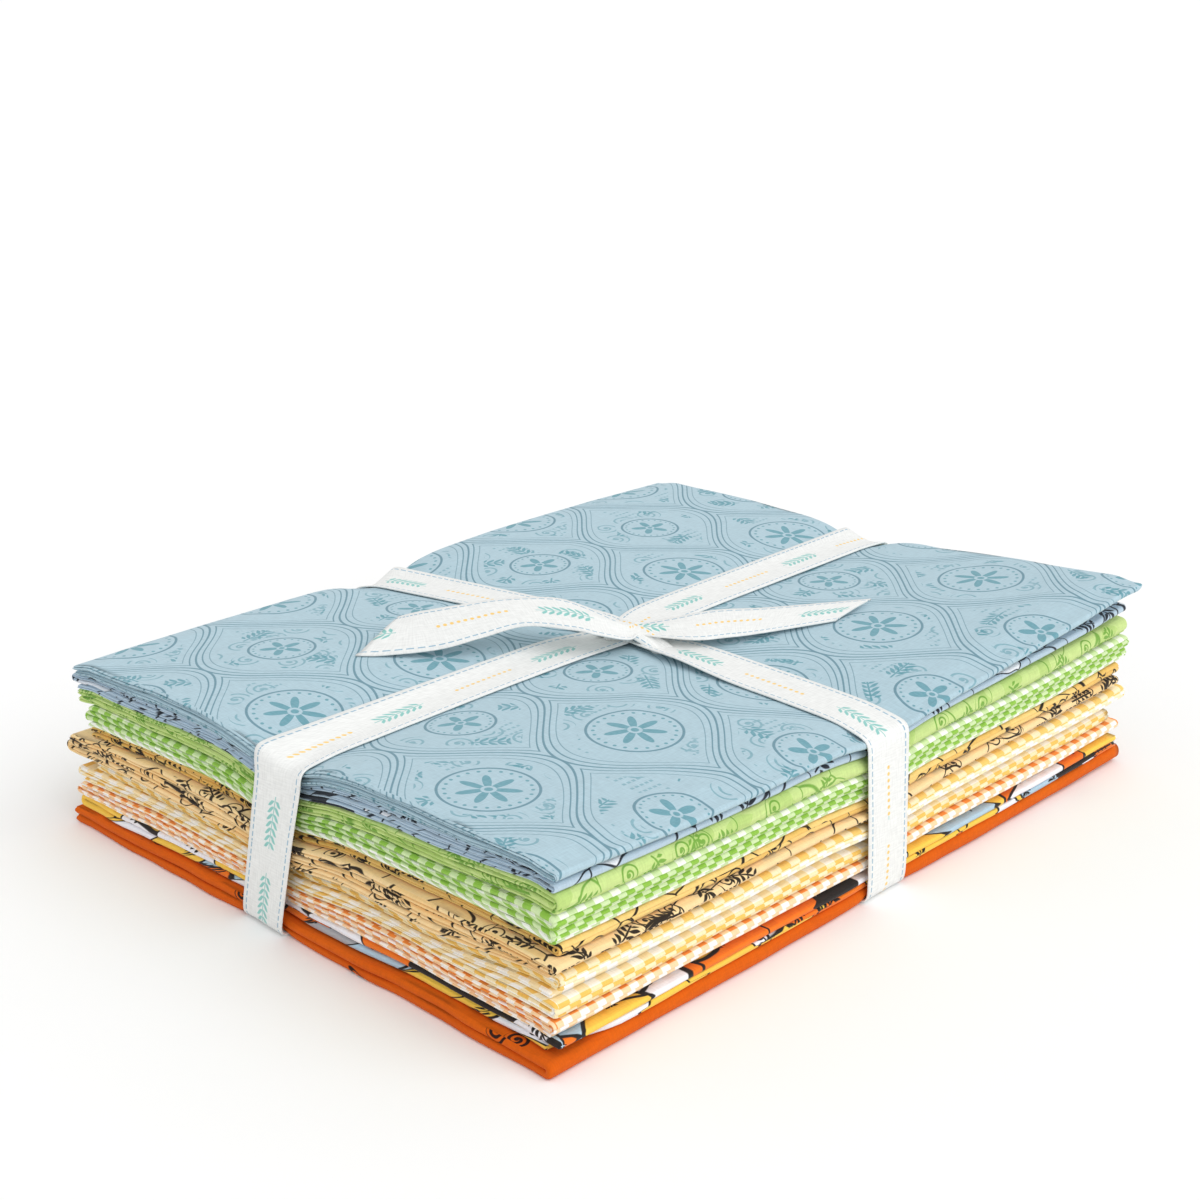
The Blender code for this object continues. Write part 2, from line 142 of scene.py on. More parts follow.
frontness = dict(  # how far the stack's shares follow the front's, from front to back
    y=(-108.0, -97.0, -62.0, 64.0, 96.0, 108.0),
    share=(1.0, 0.8, 0.0, 0.0, 0.3, 0.4),
)

# The ribbon's two passes. Middle lines are plan positions across the run, pinches are depths.
alongX = dict(
    topLow=2.3, topKnot=0.4, topHigh=4.0, underLow=12.3, underHigh=11.0,
    pinchLow=5.0, pinchMiddle=1.2, pinchHigh=3.2, halfRun=138.0,
)
alongY = dict(
    topLow=0.6, topKnot=0.8, topHigh=-12.9, underLow=3.8, underHigh=-5.0,
    pinchLow=2.4, pinchMiddle=1.0, pinchHigh=4.4, halfRun=108.0,
)

# What most of the cloths have in common
clothBase = dict(
    layers=2, plies=2, firstFold="front", foldGrooves=(), stations=60, stops=44, sheen=0.15,
    slipped=0.0,  # how far the last cut edge slips back near the front corner
    stepRight=0.0,  # how far each layer ends short of the one above it, on the right
)

# The cloths from the top down. left, right, front and back: how far that side lies past the pile's,
# near its two corners. frontTop, sideTop: the share of the pile's height at which the cloth's top lies.
cloths = [
    dict(
        clothBase, name="sky_print", plies=3, setBack=0.5, frontTop=1.000, sideTop=1.000, lift=9.2,
        left=(1.0, 1.0), right=(4.4, 0.6), front=(0.8, 2.4), back=(-1.2, 0.6),
        stepRight=2.8, stations=124, stops=100,
    ),
    dict(
        clothBase, name="mist_print", layers=3, setBack=3.5, frontTop=0.953, sideTop=0.915, lift=5.4,
        left=(-0.5, -0.3), right=(-0.8, -1.4), front=(-1.2, -0.6), back=(2.4, -2.0), firstFold="back",
    ),
    dict(
        clothBase, name="lime_print", setBack=1.2, frontTop=0.880, sideTop=0.820, lift=3.0,
        left=(-1.0, -1.0), right=(0.0, -1.0), front=(-0.2, 0.0), back=(0.6, 1.0), foldGrooves=(-0.6,),
    ),
    dict(
        clothBase, name="green_gingham", layers=4, setBack=2.5, frontTop=0.778, sideTop=0.735, lift=2.0,
        left=(-0.4, -0.6), right=(1.8, 0.4), front=(-0.6, 0.2), back=(-3.0, -0.5),
        plies=1, foldGrooves=(0.36, -0.3),
    ),
    dict(
        clothBase, name="gold_print", setBack=1.0, frontTop=0.618, sideTop=0.627, lift=1.6,
        left=(-2.6, -2.0), right=(-1.4, -2.2), front=(-1.4, -1.0), back=(-3.4, -2.6), foldGrooves=(0.2,),
    ),
    dict(
        clothBase, name="tan_print", layers=3, setBack=2.6, frontTop=0.552, sideTop=0.556, lift=1.3,
        left=(1.6, 0.4), right=(-2.0, -1.0), front=(0.9, -0.4), back=(7.0, 0.4), foldGrooves=(-0.45,),
    ),
    dict(
        clothBase, name="yellow_gingham", setBack=1.4, frontTop=0.479, sideTop=0.408, lift=1.2,
        left=(-1.8, -1.8), right=(2.2, 0.8), front=(0.2, 0.4), back=(-5.0, 1.6), foldGrooves=(0.4, -0.28),
    ),
    dict(
        clothBase, name="honey_gingham", layers=3, setBack=3.0, frontTop=0.387, sideTop=0.350, lift=1.1,
        left=(-0.8, -0.8), right=(-3.4, -2.0), front=(-0.6, -1.8), back=(3.4, -1.4),
        firstFold="back", foldGrooves=(0.3, -0.42),
    ),
    dict(
        clothBase, name="orange_gingham", layers=3, setBack=2.6, frontTop=0.260, sideTop=0.276, lift=1.0,
        left=(0.2, 0.0), right=(0.8, 0.4), front=(-0.4, -0.2), back=(4.4, 0.8), foldGrooves=(0.0,),
    ),
    dict(
        clothBase, name="marigold_print", plies=1, setBack=0.4, frontTop=0.167, sideTop=0.190, lift=1.0,
        left=(-0.2, -0.6), right=(-0.6, -1.2), front=(0.5, 0.2), back=(3.8, -1.8),
        firstFold="back", slipped=4.5,
    ),
    dict(
        clothBase, name="orange_print", plies=1, setBack=0.6, frontTop=0.089, sideTop=0.102, lift=1.0,
        left=(3.2, 0.8), right=(3.4, 1.6), front=(0.9, -0.3), back=(5.6, 1.2),
        stations=92, stops=72, sheen=0.02,
    ),
]
for cloth in cloths:
    colourWord, patternWord = cloth["name"].split("_")
    cloth["piece"] = colourWord + patternWord.capitalize() + "Cloth"
    cloth["node"], cloth["slot"] = "cloth_" + cloth["name"], cloth["name"] + "_cotton"

# How each layer turns at a fold and ends at its sides
edges = dict(
    foldDepth=0.92,
    foldStagger=0.7,
    foldSteps=26,
    capRoundness=2.4,
    capDepth=1.4,
    grooveDepth=0.85,
    sideUneven=0.6,
    plyUneven=0.4,
    foldUneven=0.3,
    foldGrooveDepth=0.3,
    foldGrooveWidth=0.1,
    cutSteps=3,
    cutRound=0.6,
    slipFromX=-112.0,
    slipReach=26.0,
    patternStep=20.0,  # each ply's print is moved along by a share of this, and sideways by the next
    patternSide=2.4,
)


def mixed(low, high, share):
    return low * (1 - share) + high * share


def eased(share):
    return 0.5 - 0.5 * np.cos(np.pi * np.clip(share, 0.0, 1.0))


def wobble(along, seed):
    slow = 0.5 * np.sin(along + 1.7 * seed) + 0.3 * np.sin(2.3 * along + 4.1 * seed)
    return slow + 0.2 * np.sin(4.9 * along + 2.6 * seed)


def cellOf(stations, value):
    stations = np.asarray(stations)
    index = np.clip(np.searchsorted(stations, value, side="right") - 1, 0, len(stations) - 2)
    return index, (value - stations[index]) / (stations[index + 1] - stations[index])


def crownHeight(x, y):
    height = np.array(crown["height"])
    column, across = cellOf(crown["x"], x)
    row, along = cellOf(crown["y"], y)
    near = mixed(height[row, column], height[row, column + 1], eased(across))
    far = mixed(height[row + 1, column], height[row + 1, column + 1], eased(across))
    return mixed(near, far, eased(along))


def middleLine(band, along):
    end = np.where(along < 0, band["topLow"], band["topHigh"])
    return mixed(band["topKnot"], end, np.clip(np.abs(along) / band["halfRun"], 0, 1))


def pinchDepth(band, along, across):
    end = np.where(along < 0, band["pinchLow"], band["pinchHigh"])
    depth = mixed(band["pinchMiddle"], end, np.clip(np.abs(along) / band["halfRun"], 0, 1) ** 2)
    return depth * np.exp(-(((across - middleLine(band, along)) / pile["pinchReach"]) ** 2))


def pileHeight(x, y):
    first, second = pinchDepth(alongX, x, y), pinchDepth(alongY, y, x)
    return crownHeight(x, y) - (first**4 + second**4) ** 0.25


def fanShare(x, y):
    overX = np.clip((x - pile["fanFromX"]) / (pile["length"] / 2 - pile["fanFromX"]), 0, 1)
    overY = np.clip((y - pile["fanFromY"]) / (-pile["width"] / 2 - pile["fanFromY"]), 0, 1)
    ease = pile["fanEase"]
    return overX ** pile["fanCurve"] * (1 + ease) * overY**2 / (overY + ease)


def stackShare(cloth, y):
    return mixed(cloth["sideTop"], cloth["frontTop"], np.interp(y, frontness["y"], frontness["share"]))


def clothFaces(index, x, y):
    height = pileHeight(x, y)
    lift = cloths[index]["lift"] * fanShare(x, y)
    top = height * stackShare(cloths[index], y) + lift
    if index + 1 == len(cloths):
        return lift, top
    return height * stackShare(cloths[index + 1], y) + pile["clothGap"] + lift, top


def topOfPile(x, y):
    return clothFaces(0, x, y)[1]


def layerFaces(index, layer, x, y):
    low, high = clothFaces(index, x, y)
    pitch = (high - low + pile["layerGap"]) / cloths[index]["layers"]
    upper = high - layer * pitch
    lower = upper - pitch + pile["layerGap"]
    if index + 1 == len(cloths) and layer + 1 == cloths[index]["layers"]:
        lower = lower + channelHeight(x, y)
    return lower, upper


def endOf(cloth, side, place):
    # how far out one side of a cloth lies, at this place along the side
    wide = side in ("left", "right")
    half, run = (pile["length"] / 2, pile["width"]) if wide else (pile["width"] / 2, pile["length"])
    return (-1 if side in ("left", "front") else 1) * (half + mixed(*cloth[side], place / run + 0.5))


# Ribbon
ribbon = dict(
    piece="ribbonTied",
    node="ribbon",
    slot="ribbon_twill",
    width=18.7,
    thick=0.6,
    clearance=0.4,
    columns=9,
    wrapColumns=15,
    wrapRows=44,
    tailRows=64,
    step=1.5,
    smoothings=4,
    bottom=0.35,
    channelDepth=1.5,
    channelSpare=2.4,
    channelEase=1.8,
    topRise=dict(at=0.4, reach=11.0, high=0.9),  # of the pass along y, over the other one
    footRise=dict(at=11.6, reach=12.0, high=0.7),
    cornerPress=2.0,
    footPress=1.0,
    pressReach=6.0,
    pressWidth=13.0,
    pressDown=0.8,
)


def channelHeight(x, y):
    # the lowest cloth gives where the ribbon passes under it
    height = 0.0
    for band, along, across in ((alongX, x, y), (alongY, y, x)):
        middle = mixed(band["underLow"], band["underHigh"], along / band["halfRun"] / 2 + 0.5)
        inside = ribbon["width"] / 2 + ribbon["channelSpare"] - np.abs(across - middle)
        height = np.maximum(height, ribbon["channelDepth"] * eased(inside / ribbon["channelEase"]))
    return height


def pressPoints():
    # the corners of the pile that the ribbon rounds off: (band, side, top height, how far in)
    points = []
    for band in (alongX, alongY):
        for side, end in ((-1, "Low"), (1, "High")):
            along = side * band["halfRun"]
            plan = (along, band["top" + end]) if band is alongX else (band["top" + end], along)
            points.append((band, side, float(pileHeight(*plan)), ribbon["cornerPress"]))
            points.append((band, side, 0.0, ribbon["footPress"]))
    return points


def settled(x, y, z):
    # a smooth shift of everything in the pile: it sways a little, and gives at the ribbon's corners
    fade = eased(z / 6.0)
    for wave, along, across in zip(pile["waves"], (x, y), (y, x)):
        bend = wave["bend"] * np.sin(z / wave["tall"] + wave["start"])
        z = z + wave["high"] * fade * np.sin(along / wave["run"] + bend + across / wave["drift"])
    moveX, moveY, moveZ = 0.0, 0.0, 0.0
    for band, side, height, press in cornerPoints:
        along, across = (x, y) if band is alongX else (y, x)
        end = "Low" if side < 0 else "High"
        middle = mixed(band["under" + end], band["top" + end], np.clip(z / pile["topHeight"], 0, 1))
        near = 1 / (1 + (np.abs(across - middle) / ribbon["pressWidth"]) ** 4)
        apart = (along - side * band["halfRun"]) ** 2 + (z - height) ** 2
        push = press * near * np.exp(-apart / 2 / ribbon["pressReach"] ** 2)
        moveX = moveX - (side * push if band is alongX else 0.0)
        moveY = moveY - (side * push if band is alongY else 0.0)
        moveZ = moveZ - (ribbon["pressDown"] * push if height > 0 else 0.0)
    return x + moveX, y + moveY, z + moveZ


cornerPoints = pressPoints()

# The CAD frame is centred on its footprint, so the plan is shifted to where the top cloth lies there
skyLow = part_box("cloth_sky_print")[0] / toMetres
shift = np.array([
    skyLow.x - endOf(cloths[0], "left", 0.0),
    skyLow.y - endOf(cloths[0], "front", endOf(cloths[0], "right", 0.0)),
    0.0,
])
print("plan shift in mm:", [round(float(value), 3) for value in shift])


# Meshes: every sheet here is a row of closed rings, each with n points on either face and k round each side
def ringMesh(name, rings, alongs, acrossStart, acrossEnd, counts, closed, shifts=None):
    rowCount, ringCount = rings.shape[:2]
    points = (rings.reshape(-1, 3) + shift) * toMetres
    faces, plan = [], []
    following = np.roll(np.arange(ringCount), -1)
    for row in range(rowCount if closed else rowCount - 1):
        after = (row + 1) % rowCount
        for here in range(ringCount):
            there = int(following[here])
            faces.append((row * ringCount + here, row * ringCount + there,
                          after * ringCount + there, after * ringCount + here))
            lowU, highU = alongs[row], alongs[row + 1]
            moveX, moveY = (0.0, 0.0) if shifts is None else shifts[row][here]
            plan += [
                (acrossStart[row][here] + moveX, lowU[here] + moveY),
                (acrossEnd[row][here] + moveX, lowU[there] + moveY),
                (acrossEnd[after][here] + moveX, highU[there] + moveY),
                (acrossStart[after][here] + moveX, highU[here] + moveY),
            ]
    if not closed:
        for row in (0, rowCount - 1):
            for face in endFaces(*counts, ringCount):
                face = face[::-1] if row else face
                faces.append([row * ringCount + point for point in face])
                plan += [(acrossStart[row][point], alongs[row][point]) for point in face]
    mesh = bpy.data.meshes.new(name)
    mesh.from_pydata(points.tolist(), [], faces)
    if signedVolume(points, faces) < 0:
        mesh.flip_normals()
        plan = flippedPlan(plan, faces)
    layer = mesh.uv_layers.new(name="clothPlan")
    flat = np.array(plan, dtype=np.float32) * toMetres
    layer.data.foreach_set("uv", flat.ravel())
    mesh.shade_smooth()
    return mesh


def signedVolume(points, faces):
    quads = np.array([face for face in faces if len(face) == 4])
    one, two, three, four = (points[quads[:, corner]] for corner in range(4))
    halves = np.cross(two - one, three - one) + np.cross(three - one, four - one)
    return float(np.sum((one + two + three + four) * halves))


def flippedPlan(plan, faces):
    # flipping a face keeps its first corner and runs through the others backwards
    flipped, at = [], 0
    for face in faces:
        corners = plan[at:at + len(face)]
        flipped += corners[:1] + corners[:0:-1]
        at += len(face)
    return flipped


def endFaces(faceCount, sideCount, ringCount):
    # closes a ring across its thickness: each point is joined to its partner on the other face
    half = (sideCount + 1) // 2
    faces = []
    for here in range(-half, faceCount + half - 1):
        across = 2 * faceCount + sideCount - 1 - here
        corners = [here, here + 1, across - 1, across]
        unique = []
        for corner in corners:
            if corner % ringCount not in unique:
                unique.append(corner % ringCount)
        faces.append(unique[::-1])
    return faces


def goesToFront(cloth, layer):
    return (cloth["firstFold"] == "front") == (layer % 2 == 0)


def foldHalfHeight(index, layer, x, y):
    return (layerFaces(index, layer, x, y)[1] - layerFaces(index, layer + 1, x, y)[0]) / 2


def layerSpan(index, layer, x):
    # the y at which a layer's flat stretch starts and ends, in the direction in which the zigzag runs
    cloth = cloths[index]
    toFront = goesToFront(cloth, layer)
    span = []
    for isEnd in (False, True):
        side = -1 if toFront == isEnd else 1
        nominal = endOf(cloth, "front" if side < 0 else "back", x)
        if (isEnd and layer + 1 == cloth["layers"]) or (not isEnd and layer == 0):
            inset = cloth["setBack"] + edges["cutRound"]
            if isEnd:  # this cut edge has slipped back towards the front corner
                inset = inset + cloth["slipped"] * eased((edges["slipFromX"] - x) / edges["slipReach"])
            seed = 31.0 * index + 7.0 * layer
        else:
            upper = layer if isEnd else layer - 1
            inset = foldHalfHeight(index, upper, x, side * pile["width"] / 2) * edges["foldDepth"]
            inset = inset + edges["foldStagger"] * (upper // 2)
            seed = 13.0 * index + 5.0 * upper
        inset = inset + edges["foldUneven"] * (1 + wobble(x / 21.0, seed))
        span.append(nominal - side * inset)
    return span


def spreadAcross(index, layerPlace, y, share):
    # x from side to side: each layer ends a little unevenly
    cloth = cloths[index]
    ends = []
    for side, end in ((-1, endOf(cloth, "left", y)), (1, endOf(cloth, "right", y))):
        low, part = int(layerPlace), layerPlace - int(layerPlace)
        seeds = [17.0 * index + 3.0 * (low + step) + side for step in (0, 1)]
        inset = mixed(wobble(y / 19.0, seeds[0]), wobble(y / 19.0, seeds[1]), part)
        if side > 0:
            end = end - cloth["stepRight"] * layerPlace
        ends.append(end - side * (edges["capDepth"] + edges["sideUneven"] * (1 + inset)))
    return mixed(ends[0], ends[1], share)


def sectionRows(cloth):
    # (layer, share along its flat stretch, angle round the fold below it)
    rows = []
    steady = np.linspace(0, 1, cloth["stops"])
    shares = mixed(steady, eased(steady), 0.55)
    for layer in range(cloth["layers"]):
        rows += [(layer, share, None) for share in shares]
        if layer + 1 < cloth["layers"]:
            rows += [(layer, None, math.pi * step / edges["foldSteps"])
                     for step in range(1, edges["foldSteps"])]
    return rows


def rowPoints(index, row, base):
    # both faces of a cloth at one row of its zigzag: the first face is the one that starts uppermost
    cloth = cloths[index]
    layer, share, turn = row
    start, end = layerSpan(index, layer, base)
    across = base / pile["length"] + 0.5
    if turn is None:
        y = mixed(start, end, share)
        x = spreadAcross(index, float(layer), y, across)
        low, high = layerFaces(index, layer, x, y)
        upper, lower = (x, y, high), (x, y, low)
    else:
        outward = -1 if goesToFront(cloth, layer) else 1
        depth = foldHalfHeight(index, layer, base, outward * pile["width"] / 2) * edges["foldDepth"]
        nearness = [(math.cos(turn) - groove) / edges["foldGrooveWidth"] for groove in cloth["foldGrooves"]]
        groove = sum(edges["foldGrooveDepth"] * np.exp(-(near**2)) for near in nearness)
        y = end + outward * depth * math.sin(turn) * (1 - groove)
        part = 0.5 - 0.5 * math.cos(turn)
        x = spreadAcross(index, layer + part, y, across)
        high, low = layerFaces(index, layer, x, y)[1], layerFaces(index, layer + 1, x, y)[0]
        upper = (x, y, (high + low) / 2 + (high - low) / 2 * math.cos(turn))
        insideLow = layerFaces(index, layer, x, end)[0]
        insideHigh = layerFaces(index, layer + 1, x, end)[1]
        halfGap = (insideLow - insideHigh) / 2
        lower = (x, end + outward * halfGap * math.sin(turn),
                 (insideLow + insideHigh) / 2 + halfGap * math.cos(turn))
    pair = [np.stack(np.broadcast_arrays(*place), axis=-1) for place in (upper, lower)]
    return pair[::-1] if layer % 2 else pair


def capProfile(plies):
    # across a layer's edge: where each point lies between its faces, and how far out it is
    shares = np.linspace(0.97, -0.97, 6 * plies + 2)
    out = (1 - np.abs(shares) ** edges["capRoundness"]) ** (1 / edges["capRoundness"])
    for ply in range(1, plies):
        out -= edges["grooveDepth"] * np.exp(-(((shares - 1 + 2 * ply / plies) / (0.3 / plies)) ** 2))
    owner = np.minimum(((1 - shares) / 2 * plies).astype(int), plies - 1)
    return shares, out, owner


def plyShifts(index, rows, owner, faceCount):
    # each ply of a folded cloth shows another part of its pattern, on the folds and round the sides
    cloth = cloths[index]
    sideCount = len(owner)
    shifts = np.zeros((len(rows), 2 * (faceCount + sideCount), 2))
    middles = np.concatenate([owner[:1], (owner[:-1] + owner[1:] + 1) // 2, owner[-1:]])
    for row, (layer, _, turn) in enumerate(rows):
        if turn is not None:
            passed = sum(math.cos(turn + 0.05) < groove for groove in cloth["foldGrooves"])
            part = (0.37 * index + 0.61 * layer + 0.43 * passed) % 1
            shifts[row, :, 0] += edges["patternStep"] * part * (passed > 0)
        ply = middles + cloth["plies"] * layer
        moveX = edges["patternSide"] * ((0.29 * index + 0.71 * ply) % 1 - 0.5)
        moveY = edges["patternStep"] * ((0.53 * index + 0.618 * ply) % 1)
        for start, order in ((faceCount - 1, 1), (2 * faceCount + sideCount - 1, -1)):
            shifts[row, start:start + sideCount + 1, 0] = moveX[::order]
            shifts[row, start:start + sideCount + 1, 1] = moveY[::order]
    return shifts


def makeCloth(index):
    cloth = cloths[index]
    base = np.linspace(-pile["length"] / 2, pile["length"] / 2, cloth["stations"])
    rows = sectionRows(cloth)
    pairs = [rowPoints(index, row, base) for row in rows]
    first = np.array([pair[0] for pair in pairs])
    second = np.array([pair[1] for pair in pairs])
    if index == 0:
        addCreases(first, second)
    first, second = [np.stack(settled(*np.moveaxis(face, -1, 0)), axis=-1) for face in (first, second)]
    first, second, rows = roundedCuts(first, second, rows)
    shares, out, owner = capProfile(cloth["plies"])
    lengthFirst, lengthSecond = developed(first), developed(second)
    rings, alongs, starts, ends = [], [], [], []
    for row in range(len(first)):
        caps, capAcross = [], []
        for side, column in ((1, -1), (-1, 0)):
            one, other = first[row, column], second[row, column]
            reach = np.linalg.norm(one - other) / 2
            depth = edges["capDepth"] * min(1.0, reach / 0.6)
            seeds = 11.0 * index + 2.0 * np.arange(cloth["plies"]) + side
            uneven = wobble(one[1] / 15.0, seeds)
            push = depth * out + edges["plyUneven"] * (uneven[owner] - 1) * min(1.0, reach)
            points = (one + other) / 2 + (one - other) / 2 * shares[:, None]
            points[:, 0] += side * push
            path = np.vstack([one, points, other])
            walked = np.concatenate([[0], np.cumsum(np.linalg.norm(np.diff(path, axis=0), axis=1))])
            caps.append(points)
            capAcross.append(one[0] + side * walked)
        rings.append(np.vstack([first[row], caps[0], second[row][::-1], caps[1][::-1]]))
        xFirst, xSecond = first[row, :, 0], second[row, ::-1, 0]
        right, left = capAcross[0], capAcross[1][::-1]
        starts.append(np.concatenate([xFirst[:-1], right[:-1], xSecond[:-1], left[:-1]]))
        ends.append(np.concatenate([xFirst[1:], right[1:], xSecond[1:], left[1:]]))
        capLength = mixed(lengthFirst[row], lengthSecond[row], (1 - shares) / 2)
        alongs.append(np.concatenate([
            np.full(len(xFirst), lengthFirst[row]), capLength,
            np.full(len(xFirst), lengthSecond[row]), capLength[::-1],
        ]))
    shifts = plyShifts(index, rows, owner, len(base))
    cloth["flatLength"] = (lengthFirst[-1] + lengthSecond[-1]) / 2
    counts = (len(base), len(shares))
    mesh = ringMesh(cloth["piece"], np.array(rings), alongs, starts, ends, counts, False, shifts)
    return linked(cloth["piece"], mesh)


def roundedCuts(first, second, rows):
    # a cut edge closes in a small round, so extra rows are laid past both ends of the zigzag
    steps = edges["cutSteps"]
    angles = [math.pi / 2 * step / (steps + 0.5) for step in range(1, steps + 1)]
    for here, before in ((0, 1), (-1, -2)):
        middle = (first[here] + second[here]) / 2
        outward = middle - (first[before] + second[before]) / 2
        outward = outward / np.linalg.norm(outward, axis=-1, keepdims=True) * edges["cutRound"]
        extra = [[middle + (face[here] - middle) * math.cos(angle) + outward * math.sin(angle)
                  for angle in angles] for face in (first, second)]
        if here:
            first, second = np.vstack([first, extra[0]]), np.vstack([second, extra[1]])
            rows = rows + rows[-1:] * steps
        else:
            first, second = np.vstack([extra[0][::-1], first]), np.vstack([extra[1][::-1], second])
            rows = rows[:1] * steps + rows
    return first, second, rows


def developed(face):
    # how far each row lies along the cloth, measured down its middle
    line = face[:, face.shape[1] // 2]
    return np.concatenate([[0], np.cumsum(np.linalg.norm(np.diff(line, axis=0), axis=1))])


# Soft creases on the top cloth: (from x, from y, to x, to y, height, half width)
creaseFloor = 40.0  # only what lies above this height is creased
cornerDroop = dict(fromX=118.0, reachX=26.0, fromY=-40.0, reachY=60.0, deep=1.5)
creases = [
    (-128.0, -70.0, -40.0, -92.0, 0.35, 5.0),
    (-120.0, 40.0, -36.0, 62.0, 0.30, 6.0),
    (-20.0, -30.0, -70.0, -66.0, 0.30, 4.0),
    (18.0, -22.0, 84.0, -74.0, 0.35, 5.0),
    (40.0, -98.0, 130.0, -88.0, 0.45, 5.0),
    (16.0, 24.0, 60.0, 84.0, 0.30, 5.0),
    (-24.0, 22.0, -34.0, 96.0, -0.30, 4.0),
    (60.0, 16.0, 132.0, 40.0, 0.30, 6.0),
    (110.0, -100.0, 134.0, -30.0, -0.40, 5.0),
]


def addCreases(first, second):
    for face in (first, second):
        x, y = face[..., 0], face[..., 1]
        sideways = eased((x - cornerDroop["fromX"]) / cornerDroop["reachX"]) ** 2
        forwards = eased((cornerDroop["fromY"] - y) / cornerDroop["reachY"])
        face[..., 2] -= cornerDroop["deep"] * sideways * forwards
        for fromX, fromY, toX, toY, height, halfWidth in creases:
            runX, runY = toX - fromX, toY - fromY
            length = math.hypot(runX, runY)
            share = ((x - fromX) * runX + (y - fromY) * runY) / length**2
            apart = ((x - fromX) * runY - (y - fromY) * runX) / length
            fade = eased(share / 0.3) * eased((1 - share) / 0.3)
            upper = (face[..., 2] > creaseFloor) * 1.0
            face[..., 2] += height * upper * fade * np.exp(-((apart / halfWidth) ** 2))


def passOutline(band, offset):
    # the taut line round the pile in the upright plane of one pass, at this offset from its middle
    places = []
    half = band["halfRun"]
    isX = band is alongX
    for along in np.arange(-half + 2.0, half - 1.0, 3.0):
        across = float(middleLine(band, along)) + offset
        plan = (along, across) if isX else (across, along)
        places.append((*plan, float(topOfPile(*plan))))
    for side, end in zip(("left", "right") if isX else ("front", "back"), ("Low", "High")):
        for index, cloth in enumerate(cloths):
            for across in (band["top" + end] + offset, band["under" + end] + offset):
                along = endOf(cloth, side, across)
                plan = (along, across) if isX else (across, along)
                places += [(*plan, float(face)) for face in clothFaces(index, *plan)[::-1]]
    x, y, z = settled(*np.array(places).T)
    bottom = ribbon["bottom"] + ribbon["clearance"] + ribbon["thick"] / 2
    points = np.stack([x if isX else y, np.maximum(z, bottom)], axis=1)
    angles = np.linspace(0, 2 * math.pi, 720, endpoint=False)
    outward = np.stack([np.cos(angles), np.sin(angles)], axis=1)
    outline = points[np.argmax(points @ outward.T, axis=0)]
    outline = outline + outward * (ribbon["clearance"] + ribbon["thick"] / 2)
    return evenLoop(outline)


def evenLoop(points):
    closed = np.vstack([points, points[:1]])
    walked = np.concatenate([[0], np.cumsum(np.linalg.norm(np.diff(closed, axis=0), axis=1))])
    stops = np.linspace(0, walked[-1], int(walked[-1] / ribbon["step"]), endpoint=False)
    loop = np.stack([np.interp(stops, walked, closed[:, axis]) for axis in (0, 1)], axis=1)
    for _ in range(ribbon["smoothings"]):
        loop = (np.roll(loop, 1, axis=0) + 2 * loop + np.roll(loop, -1, axis=0)) / 4
    return loop


def atBearings(loop, bearings, centre):
    # the same loop, sampled where it lies in these directions from the middle of the pile
    own = np.arctan2(loop[:, 1] - centre[1], loop[:, 0] - centre[0])
    order = np.argsort(own)
    own, loop = own[order], loop[order]
    own = np.concatenate([own[-3:] - 2 * math.pi, own, own[:3] + 2 * math.pi])
    loop = np.vstack([loop[-3:], loop, loop[:3]])
    return np.stack([np.interp(bearings, own, loop[:, axis]) for axis in (0, 1)], axis=1)


# Where the knot sits, and how each pass narrows towards it
knot = dict(
    x=-3.5, y=-7.0, turn=-38.0, long=7.8, short=4.816, high=2.28, middle=1.2,
    narrowX=0.28, narrowY=0.5, narrowReach=14.0,
    edgeLift=dict(behind=24.0, reach=17.0, high=1.8),  # one side of the pass along y rises before the knot
    pull=0.55,  # how much each pass is drawn sideways to the knot
    ripple=0.5,
    gatherReach=24.0,
    gatherHigh=1.3,
    seat=1.3,
    flatBelow=-1.6,
    ridges=((0.07, 7, 2.0), (0.04, 4, -5.0)),  # of the bunch: height, how many, and their twist
    printWidth=6.0,
    printLength=9.0,
    wrap=[  # x, y, height above the cloth, width
        (-3.4, 11.0, 0.4, 10.4),
        (-4.2, 5.5, 2.8, 9.6),
        (-4.6, -0.5, 5.0, 10.2),
        (-3.8, -7.0, 6.0, 10.8),
        (-2.2, -13.0, 4.9, 10.0),
        (-0.8, -18.0, 2.6, 8.8),
        (0.2, -23.0, 0.3, 8.4),
    ],
)


